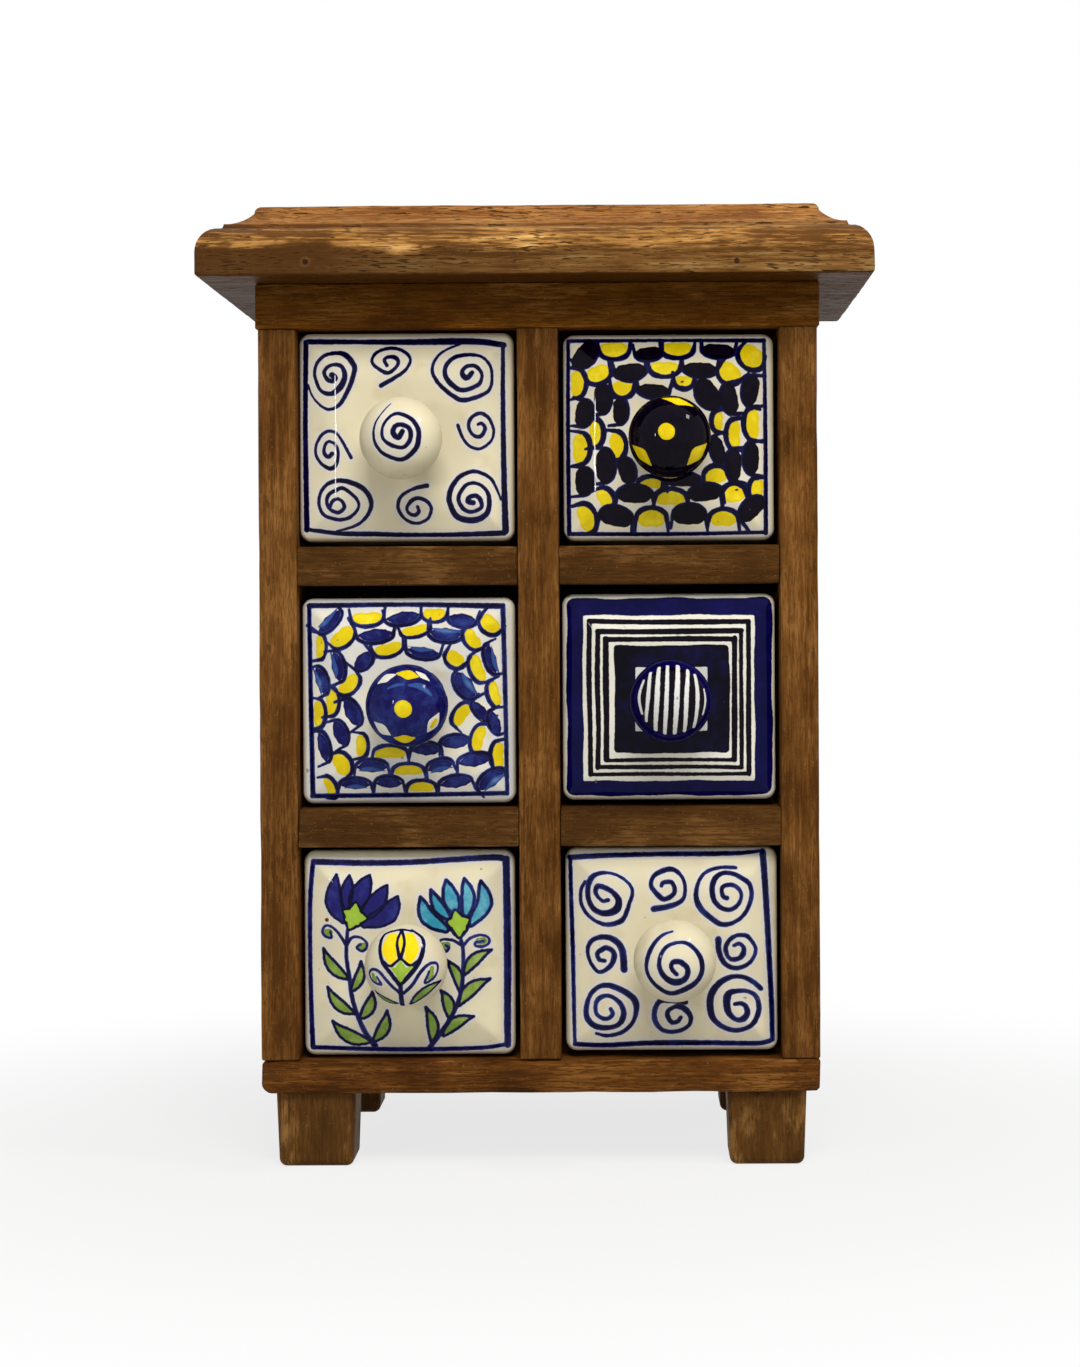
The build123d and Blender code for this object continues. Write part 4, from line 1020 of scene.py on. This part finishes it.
def flowers(brush):
    """A dark blue flower and a turquoise one on leafy stems, inside a blue border."""
    outline(
        brush, "frame",
        [(-28.8, 27.7), (-16.3, 27.3), (0, 27.4), (12.8, 28.1), (25.3, 28.7), (29.5, 28.2)],
        [(29.3, 28.2), (29.5, 16.3), (29.6, -0.3), (29.5, -17), (29.5, -27.8)],
        [(-29.3, -28.3), (-12.2, -28.9), (4.5, -29.1), (21.2, -28.7), (29.5, -27.6)],
        [(-29, 27.2), (-29.9, 16.3), (-30, -0.3), (-29.7, -17), (-29.3, -27.8)],
        ((1.5, 1.4, 1.6), (1.8, 1.9, 1.7), (1.2, 1.3, 1.1), (1.3, 1.2, 1.4)),
    )
    for start, tip, width in (
        ((-18, -7.2), (-25.8, 1.75), 4.3), ((-17.3, -11), (-14.3, -2), 3.8), ((-16.3, -17.6), (-24.5, -9.9), 4.2),
        ((-14.5, -19.1), (-10.9, -11.2), 4.3), ((-12, -26.6), (-23, -20.1), 5.0), ((-10.9, -26.4), (-6.5, -16.8), 4.4),
        ((16.8, -6), (24.9, 1.1), 4.2), ((15.5, -11.2), (11.2, -1.6), 3.8), ((15.3, -15.1), (24.4, -7.6), 4.6),
        ((12.2, -19.1), (9.7, -10.8), 4.2), ((10.3, -24.7), (19.5, -18.7), 4.4), ((6.6, -26.6), (5.1, -15.8), 4.2),
    ):
        leaf(brush, start, tip, width)
    for tip, belly, base, width in (
        ((-21.7, 23.8), (-22.5, 16), (-19.5, 10.5), 6), ((-17.8, 23.6), (-18.4, 18.8), (-19, 13.8), 4.5),
        ((-11.7, 23.6), (-14.3, 18.4), (-16.3, 14.3), 6.5), ((-6.4, 20.7), (-9.7, 15.5), (-13.4, 11.3), 6),
        ((-3.1, 17.4), (-6.3, 12.2), (-13, 9.3), 6.5),
    ):
        petal(brush, tip, belly, base, width, "petal", "ink", 0.85)
    for tip, belly, base, width in (
        ((3.7, 17.2), (5.8, 11.3), (11.2, 7.6), 5.5), ((6.8, 19.3), (9.1, 14.3), (12.2, 10.9), 4.5),
        ((11.4, 22.1), (12.8, 16.8), (14.1, 13), 5.8), ((16.8, 22.5), (18, 17.2), (17.2, 11.3), 5),
        ((21.8, 21.8), (22.8, 15.1), (18.8, 9.3), 5.5),
    ):
        petal(brush, tip, belly, base, width, "cyan", "navy", 1.15)
    for points, line in (
        ([(-15.8, 15), (-14.7, 12.6), (-13, 10.9), (-15.1, 9.3), (-17.6, 8.2), (-18.6, 10.5), (-19, 13)], "ink"),
        ([(14.1, 12.6), (15.5, 10.5), (17.8, 10.3), (16.8, 7.6), (15.3, 5.7), (14.1, 7.6), (12.3, 9.7)], "navy"),
    ):
        calyx(brush, points, line)
    brush.stroke("frame", [
        (-18.2, 8), (-18.6, 3), (-18.6, -1.2), (-17.8, -6.6), (-17, -12.8), (-15.1, -19.1), (-13, -24.1),
        (-10.5, -27.8),
    ], (0.9, 1.1, 1.2, 1.6))
    brush.stroke("frame", [
        (15.5, 5.7), (16.4, 1.3), (16.4, -4.5), (16, -9.5), (14.9, -14.1), (12.6, -19.1), (9.5, -23.7), (6, -28.5),
    ], (1.0, 1.1, 1.2, 1.4))
    for curl in (
        [(-18.8, 3), (-20.9, 6.3), (-23.4, 8.4), (-25.3, 8.4), (-26.1, 6.75), (-25.1, 5.3), (-23.2, 5.1),
         (-23.6, 6.75)],
        [(-18.4, 3), (-17, 5.1), (-14.7, 5.3), (-12.6, 3.8), (-12.6, 2), (-14, 1.1), (-15.5, 2.2), (-14.3, 3.2)],
        [(15.5, 3), (13.3, 4.25), (10.3, 4.5), (9.2, 3.4), (9.9, 2.2), (11.2, 0.9), (12.2, 2), (11.2, 2.8)],
        [(16.8, 3), (18.7, 4.9), (21.6, 5.7), (23.9, 4.9), (24.1, 3.2), (22.2, 2.2), (20.1, 2.6), (20.3, 3.6),
         (22.6, 3.8)],
    ):
        brush.stroke("frame", curl, (0.9, 0.7, 0.8, 0.7))
    for blob in ((-24.5, 6.6), (-13.8, 2.6), (10.9, 2.7), (21.8, 3.9)):
        brush.stroke("green", [(blob[0] - 0.7, blob[1]), (blob[0] + 0.7, blob[1])], (2.0, 2.2))
    brush.stroke("rust", [(-24.75, 10.3), (-24.6, 10.35)], (1.2, 1.2))


def on_knob(brush, layer, *strokes):
    """Strokes of one colour on a knob, each as its points seen from straight in front and its widths."""
    for points, widths in strokes:
        brush.stroke(layer, on_ball(*points), widths)


def ground(brush, layer):
    """One colour all over a knob."""
    brush.sheet(layer, (0, 0), (60, 60), 1.0, 0.0)


def knob_spiral_fine(brush):
    """One dark spiral that opens to the upper left."""
    on_knob(brush, "ink", ((
        (1.4, 1.3), (0.2, -0.6), (-1.4, 0.8), (-0.7, 2.9), (1.4, 3.3), (3.5, 2.1), (3.9, -0.6), (2.7, -2.7),
        (1.0, -3.6), (-2.3, -2.7), (-4.6, -0.6), (-4.6, 2.7), (-2.7, 5.6), (0.0, 6.8), (3.9, 5.2), (6.0, 2.3),
        (6.2, -1.0), (5.2, -4.0), (1.2, -7.1), (-4.0, -5.6), (-6.5, -3.1), (-7.5, 0.2), (-6.9, 4.0), (-4.8, 7.3),
        (-2.3, 10.1),
    ), (1.3, 1.4, 1.2, 1.2, 1.1, 1.0, 0.8, 1.1, 1.3, 1.5, 1.2, 1.0, 0.6, 0.4)))


def knob_spiral_bold(brush):
    """One full blue spiral that opens at the top."""
    on_knob(brush, "navy", ((
        (0.3, -2.7), (-1.2, -0.8), (-0.8, 0.9), (1.3, 1.1), (3.4, -0.6), (3.6, -2.9), (2.2, -4.7), (-0.3, -5.2),
        (-2.9, -3.9), (-4.7, -1.2), (-4.7, 2.1), (-2.9, 5.3), (0.1, 6.6), (3.4, 6.5), (6.3, 4.2), (8.0, 0.9),
        (8.0, -2.5), (6.3, -5.4), (2.6, -7.7), (-1.6, -8.9), (-5.4, -6.8), (-7.9, -3.9), (-8.8, -0.8), (-8.1, 3.0),
        (-6.2, 6.5), (-3.7, 8.8), (-0.8, 9.8),
    ), (1.0, 1.1, 1.3, 1.3, 1.5, 1.9, 1.4, 1.1, 1.0, 0.9, 1.2, 1.5, 1.6, 1.8, 1.6, 1.3, 1.2, 1.4, 1.1, 0.7)))


def side_dabs(brush, layer, angles, length, width):
    """Dabs laid around the side of a knob, where only its edge shows them."""
    for angle in angles:
        turn = np.linspace(-0.5, 0.5, 5) * length / KNOB_SIDE + math.radians(angle)
        line = [(KNOB_SIDE * math.cos(t), KNOB_SIDE * math.sin(t)) for t in turn]
        brush.stroke(layer, line, (0.5, width, width * 1.05, width, 0.5))


def knob_dark_petals(brush):
    """A near-black ball with a yellow eye and yellow petals around its side."""
    ground(brush, "coal")
    on_knob(
        brush, "yellow",
        (((-1.3, 1.1), (-1.1, 0.9)), (4.7, 4.9)),
        (((-2.1, 11.4), (2.5, 10.5), (7.0, 9.0)), (0.6, 4.4, 0.6)),
        (((-11.2, -3), (-8.7, -5.8), (-5.9, -8.9)), (0.8, 4.8, 0.8)),
        (((5.4, -8.8), (8.3, -5.8), (11.0, -2.6)), (0.8, 5.6, 0.8)),
    )
    side_dabs(brush, "yellow", (18, 145, 270), 7.0, 3.4)


def knob_blue_petals(brush):
    """A watery blue ball with a yellow eye and yellow and white gaps around its side."""
    ground(brush, "blue")
    on_knob(
        brush, "wash",
        (((1.5, 6.5), (5.0, 6.0), (8.0, 3.5)), (0.8, 2.4, 1.0)),
        (((-5.0, 5.5), (-2.5, 6.5), (0.0, 6.8)), (0.6, 1.2, 0.6)),
    )
    on_knob(
        brush, "white",
        (((-8.2, 7.0), (-5.8, 8.6), (-3.0, 9.6)), (0.6, 3.6, 0.8)),
        (((3.5, 10.4), (5.4, 9.2), (7.2, 7.8)), (0.8, 2.6, 0.6)),
        (((-9.3, -4.8), (-7.0, -7.0), (-4.6, -8.6)), (0.6, 4.4, 0.6)),
        (((6.8, -7.8), (8.7, -5.2), (10.2, -2.2)), (0.6, 4.6, 0.6)),
    )
    on_knob(
        brush, "yellow",
        (((-0.4, -0.5), (-0.2, -0.7)), (4.9, 5.1)),
        (((-2.4, 10.0), (1.0, 9.7), (4.0, 9.0)), (0.8, 4.2, 0.8)),
        (((-3.2, -9.6), (-0.2, -10.1), (2.8, -9.6)), (0.8, 4.2, 0.8)),
        (((8.0, -6.2), (9.2, -4.4)), (1.6, 1.8)),
    )
    side_dabs(brush, "white", (20, 60, 105, 160, 200, 250, 300), 5.0, 3.0)


def knob_stripes(brush):
    """A blue ball whose face is striped in white."""
    ground(brush, "band")
    brush.stroke("coal", [(0.1, 0.4), (0.3, 0.5)], (22.5, 22.5))
    on_knob(
        brush, "chalk",
        (((-8.3, 6.3), (-9.7, 1.5), (-8.9, -3.5)), (1.0, 1.3, 1.0)),
        (((-6.2, 8.6), (-7.0, 1.5), (-7.6, -5.8)), (1.2, 1.4, 1.1)),
        (((-3.6, 10.2), (-4.3, 1.5), (-4.7, -8.5)), (1.3, 1.6, 1.3)),
        (((-1.0, 10.7), (-1.4, 1.5), (-1.95, -9.6)), (1.1, 1.3, 1.2)),
        (((2.1, 10.7), (1.7, 1.5), (1.0, -9.6)), (1.4, 1.6, 1.3)),
        (((5.1, 9.4), (4.6, 1.5), (4.0, -8.9)), (1.2, 1.4, 1.2)),
        (((7.3, 7.9), (8.0, 1.5), (6.9, -7.7)), (1.3, 1.5, 1.2)),
        (((10.0, 3.6), (10.4, 0.2), (9.6, -3.9)), (0.7, 1.0, 0.7)),
    )


def knob_tulip(brush):
    """A yellow tulip between two curls, over two leaves."""
    on_knob(
        brush, "sun",
        (((-3.0, 2.4), (-4.3, 6.2), (-3.6, 9.4)), (2.6, 5.2, 4.0)),
        (((1.7, 2.6), (2.5, 6.4), (1.7, 9.6)), (2.4, 4.9, 3.6)),
        (((-0.7, 3.6), (-0.8, 6.5), (-0.8, 10.2)), (1.4, 2.2, 1.6)),
    )
    on_knob(
        brush, "ink",
        (((-0.9, 11.2), (-1.9, 8), (-0.9, 3.2)), (0.8, 0.8, 1.0)),
        (((-0.6, 11.2), (0.3, 8), (-0.7, 3.2)), (0.8, 0.8, 1.0)),
        (((-3.6, 11.0), (-0.8, 11.5), (2.4, 11.0)), (0.8, 1.0, 0.8)),
        (((-6.2, 2.6), (-3.9, 1.2), (-1.6, 2.8), (-0.8, 4.0)), (0.7, 0.8, 0.6)),
        (((4.4, 2.6), (2.3, 1.4), (0.2, 2.8), (-0.7, 4.0)), (0.7, 0.8, 0.6)),
        (((-2.3, 11.3), (-6.0, 10.0), (-7.25, 7.1), (-6.4, 2.5), (-3.9, -0.8), (-1.0, -4.6)), (0.9, 1.2, 1.1, 1.2)),
        (((2.3, 11.3), (5.7, 8.8), (5.7, 4.6), (3.6, 0.4), (-0.2, -3.9)), (0.9, 1.3, 1.2)),
    )
    on_knob(
        brush, "lime",
        (((-0.7, 2.6), (-0.7, -0.2), (-0.7, -3.2)), (0.7, 3.8, 0.8)),
        (((-3.3, 0.5), (-0.7, -0.6), (2.7, 0.8)), (0.6, 2.6, 0.6)),
    )
    on_knob(
        brush, "frame",
        (((-0.7, -3.7), (-0.8, -7.0), (-0.7, -11.5)), (1.1, 1.3, 1.5)),
        (((-1.2, -7.1), (-4.3, -4.1), (-7.25, -0.8), (-9.5, -0.2), (-10.6, -1.65), (-9.5, -3.9), (-6.8, -4.6),
          (-8.1, -2.5)), (1.0, 0.9, 0.8)),
        (((0, -7.3), (2.75, -4.6), (5.25, -0.8), (7.75, 1.5), (9.8, 1.5), (10.25, -0.4), (9, -2.9), (6.5, -4.15),
          (7.75, -0.8)), (1.0, 0.9, 0.8)),
    )
    on_knob(
        brush, "green",
        (((-9.4, -1.9), (-8.9, -3.6)), (1.6, 2.2)),
        (((8.6, 0.2), (8.1, -2.6)), (1.6, 2.4)),
    )
    leaf(brush, *on_ball((-2.25, -10.8), (-8.9, -7.1)), 3.6)
    leaf(brush, *on_ball((1.9, -11.0), (11.0, -4.15)), 4.4)


# Each drawer: the painter of its front and of its knob, their layers with the lowest first, and the clay.
PATTERNS = {
    "top_left": (spirals_fine, knob_spiral_fine, ("ink",), ("ink",), IVORY),
    "top_right": (
        scales_dark, knob_dark_petals, ("yellow", "ink", "coal", "rust"), ("coal", "yellow"), IVORY,
    ),
    "middle_left": (
        scales_blue, knob_blue_petals, ("yellow", "blue", "wash", "navy"), ("blue", "wash", "white", "yellow"), CHALK,
    ),
    "middle_right": (
        squares, knob_stripes, ("band", "white", "coal", "centre", "chalk"), ("band", "coal", "chalk"), CHALK,
    ),
    "bottom_left": (
        flowers, knob_tulip, ("green", "cyan", "petal", "frame", "navy", "ink", "lime", "rust"),
        ("sun", "green", "frame", "ink", "lime"), IVORY,
    ),
    "bottom_right": (spirals_bold, knob_spiral_bold, ("navy",), ("navy",), IVORY),
}


# ------------------------------------------------------------------ the scene

# How bright the room is for rays that don't see it as white, and how pale the floor is under its shadow.
FILL = 0.28
FLOOR_TONE = 0.62
FLOOR_HALF = 4.0
WHITE = (1.0, 1.0, 1.0, 1.0)
CHEST_MIDDLE = (0.0, -0.05, 0.16)

# The camera as fitted to the photograph: metres, degrees, millimetres and shares of the frame.
CAMERA_PLACE = (0.02669, -0.85039, 0.16655)
CAMERA_TURN = (89.988, 0.30, 0.32)
CAMERA_LENS = 70.65
CAMERA_SHIFT = (-0.0530, -0.0512)


def white_ray(w):
    """1 for the rays that see the room as white: from the camera, from gloss and through glass."""
    return sum(w.node("ShaderNodeLightPath", out=kind) for kind in (0, 3, 6)).held()


def room():
    """A white floor that keeps a soft shadow, and a world that is white behind the chest."""
    scene = bpy.context.scene
    scene.view_settings.view_transform = "Standard"
    world = bpy.data.worlds.new("white_room")
    scene.world = world
    world.use_nodes = True
    world.node_tree.nodes.clear()
    w = Wire(world.node_tree)
    strength = white_ray(w) * (1.0 - FILL) + FILL
    light = w.node("ShaderNodeBackground", None, {"Color": WHITE, "Strength": strength})
    w.node("ShaderNodeOutputWorld", None, {"Surface": light})

    bm = bmesh.new()
    bmesh.ops.create_grid(bm, x_segments=2, y_segments=2, size=FLOOR_HALF)
    mesh = bpy.data.meshes.new("floor")
    bm.to_mesh(mesh)
    bm.free()
    floor = bpy.data.objects.new("floor", mesh)
    scene.collection.objects.link(floor)
    material, w = open_finish("white_floor")
    mesh.materials.append(material)
    matte = w.node("ShaderNodeBsdfDiffuse", None, {"Color": (FLOOR_TONE, FLOOR_TONE, FLOOR_TONE, 1.0)})
    bright = w.node("ShaderNodeEmission", None, {"Color": WHITE, "Strength": 1.0})
    distance = w.node("ShaderNodeVectorMath", {"operation": "LENGTH"}, {0: w.place()}, out=1)
    white = white_ray(w) * distance.ramp(0.10, 0.34, 0.78, 1.0)
    mixed = w.node("ShaderNodeMixShader", None, {0: white, 1: matte, 2: bright})
    w.node("ShaderNodeOutputMaterial", None, {"Surface": mixed})


def lamp(name, place, width, height, power, colour=(1.0, 0.97, 0.92), turn=0.0, mirrored=True):
    """A rectangular studio lamp that faces the chest. turn rolls it; mirrored lets the glaze reflect it."""
    light = bpy.data.lights.new(name, "AREA")
    light.shape = "RECTANGLE"
    light.size = width
    light.size_y = height
    light.energy = power
    light.color = colour
    lamp_object = bpy.data.objects.new(name, light)
    bpy.context.scene.collection.objects.link(lamp_object)
    lamp_object.location = place
    facing = (Vector(CHEST_MIDDLE) - Vector(place)).to_track_quat("-Z", "Y")
    lamp_object.rotation_euler = (facing @ Quaternion((0, 0, 1), math.radians(turn))).to_euler()
    lamp_object.visible_glossy = mirrored


def camera():
    """The camera of the photograph: almost level, a little right of the middle, 0.8 m in front."""
    data = bpy.data.cameras.new("camera")
    data.sensor_fit = "VERTICAL"
    data.sensor_height = 36.0
    data.lens = CAMERA_LENS
    data.shift_x, data.shift_y = CAMERA_SHIFT
    data.clip_start = 0.05
    eye = bpy.data.objects.new("camera", data)
    bpy.context.scene.collection.objects.link(eye)
    eye.location = CAMERA_PLACE
    eye.rotation_euler = [math.radians(angle) for angle in CAMERA_TURN]
    bpy.context.scene.camera = eye


def spot(w, across, up, radius):
    """A round mark on the front of the chest, in millimetres; 1 in its middle, 0 past its rim."""
    flat = w.node("ShaderNodeVectorMath", {"operation": "MULTIPLY"}, {0: w.place(), 1: (1.0, 0.0, 1.0)})
    middle = (across * MM, 0.0, up * MM)
    away = w.node("ShaderNodeVectorMath", {"operation": "DISTANCE"}, {0: flat, 1: middle}, out=1)
    return away.ramp(radius * MM, radius * 0.55 * MM)


def along_axis(w, index):
    """Where a point lies along one axis of the object, in metres."""
    return w.node("ShaderNodeSeparateXYZ", None, {0: w.place()}, out=index)


def top_detail(w, colour, cloud, fibre):
    """The top's bands: a sole painted dark as shade, a flat edge tinted darker, most at the left, a golden ovolo,
    painted shade in the quirk, a redder cove and nose, two old nail marks.
    """
    height = along_axis(w, 2)
    across = along_axis(w, 0)
    level = height + (cloud - 0.5) * 0.010
    flat = level.ramp(0.2755, 0.2728) * across.ramp(-0.085, 0.07, 0.96, 0.62)
    colour = w.tint(flat, colour, seen(72, 44, 18))
    colour = w.tint(height.ramp(0.2806, 0.2818) * 0.50, colour, seen(138, 84, 44))
    # Painted shade in the quirk, the narrow groove between the ovolo and the cove.
    painted_quirk_shade = height.ramp(0.2805, 0.2811) * height.ramp(0.2824, 0.2817)
    colour = w.tint(painted_quirk_shade * 0.6, colour, seen(66, 36, 16))
    for mark_across, mark_up in ((-67.3, 270.0), (59.3, 269.6)):
        colour = w.tint(spot(w, mark_across, mark_up, 2.0) * 0.12, colour, seen(150, 116, 78))
        colour = w.tint(spot(w, mark_across, mark_up, 1.1) * 0.9, colour, seen(38, 20, 8))
    # Painted shade: the underside and lowest edge of the top are painted dark, as shade under the overhang.
    sole = w.tint(fibre.ramp(0.35, 0.65), seen(70, 38, 4), seen(90, 54, 12))
    return w.tint(height.ramp(0.2667, 0.2662), colour, sole)


def painted_header_shade(w, colour, cloud, fibre):
    """The header: painted shade, darkest close under the overhanging top."""
    level = along_axis(w, 2) + (cloud - 0.5) * 0.012
    # Painted shade under the overhang of the top, strongest at the header's upper edge.
    return w.tint(level.ramp(0.2525, 0.2625) * 0.30, colour, seen(44, 24, 6))


def foot_detail(w, colour, cloud, fibre):
    """The feet: mottled, with a dark stain and a small pale dot in it, high on the front right one."""
    colour = w.tint(spot(w, 65.5, 23.6, 3.4) * 0.7, colour, seen(52, 24, 12))
    return w.tint(spot(w, 65.9, 23.9, 0.55) * 0.9, colour, seen(214, 200, 180))


def dress(pieces, material):
    """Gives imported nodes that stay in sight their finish."""
    for name in pieces:
        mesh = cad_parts[name].data
        mesh.materials.clear()
        mesh.materials.append(material)


def main():
    room()
    camera()
    lamp("ceiling_panel", (0.10, -0.86, 1.02), 0.6, 0.45, 10.8, mirrored=False)
    lamp("high_window", (0.60, -0.32, 0.84), 0.11, 0.17, 2.6, turn=-51.0)
    lamp("side_window", (-0.45, -0.70, 0.268), 0.020, 0.09, 0.72, (0.95, 0.98, 1.0))

    top = wood(
        "top_wood", ((220, 178, 112), (172, 124, 66), (98, 62, 28)), "X",
        pores=0.95, clouds=0.5, detailing=top_detail,
    )
    brown = ((132, 88, 42), (105, 67, 28), (78, 46, 14))
    upright = wood("case_wood_upright", brown, "Z", 3.3, 0.35, 0.75)
    header = wood(
        "case_wood_header", ((140, 88, 24), (108, 64, 10), (80, 42, 2)), "X",
        7.1, 0.4, 0.5, painted_header_shade,
    )
    base = wood("case_wood_base", ((132, 86, 38), (98, 58, 20), (66, 36, 10)), "X", 9.4, 0.5, 0.7)
    shelf = wood("shelf_wood", ((98, 65, 30), (80, 51, 20), (64, 39, 13)), "X", 11.9, 0.35, 0.5)
    foot = wood(
        "foot_wood", ((106, 74, 36), (92, 60, 25), (78, 50, 20)), "Z",
        15.4, 0.4, 0.6, foot_detail,
    )
    ply = wood("back_ply", ((182, 140, 92), (156, 112, 68), (118, 82, 46)), "Z", 21.0, 0.4, 0.5)

    moulded_top(top)
    plank("header_board", header, 1.0)
    plank("base_board", base, 2.0, arris=1.0, wear=0.7, corners=((-1, 3.0),))
    for index, side in enumerate(SIDES):
        plank(f"side_{side}", upright, 4.0 + index)
        for row in ("upper", "lower"):
            plank(f"shelf_{row}_{side}", shelf, 8.0 + index + (row == "lower") * 3)
    plank("centre_divider", upright, 7.0)
    dress(("foot_front_left", "foot_front_right", "foot_back_left", "foot_back_right"), foot)
    dress(("back_panel", "shelf_dowels"), ply)
    nails = ("header_nails", "base_nails", "shelf_nails_left", "shelf_nails_right", "back_pins")
    dress(nails, steel("nail_steel", seen(168, 164, 156)))
    dress(("top_screws", "foot_screws"), steel("screw_steel", seen(182, 178, 168)))

    plain = glaze("plain_glaze", ())
    for number, key in enumerate(DRAWERS):
        paint_front, paint_knob, front_layers, knob_layers, clay = PATTERNS[key]
        piece, u, v = drawer_front(key, glaze(f"glaze_{key}", front_layers, clay), number * 1.7)
        brush = Brushwork(u, v, number)
        paint_front(brush)
        brush.write(piece, front_layers)
        drawer_box(key, plain)
        piece, u, v = knob(key, glaze(f"glaze_knob_{key}", knob_layers, clay))
        brush = Brushwork(u, v, 20 + number)
        paint_knob(brush)
        brush.write(piece, knob_layers)


main()
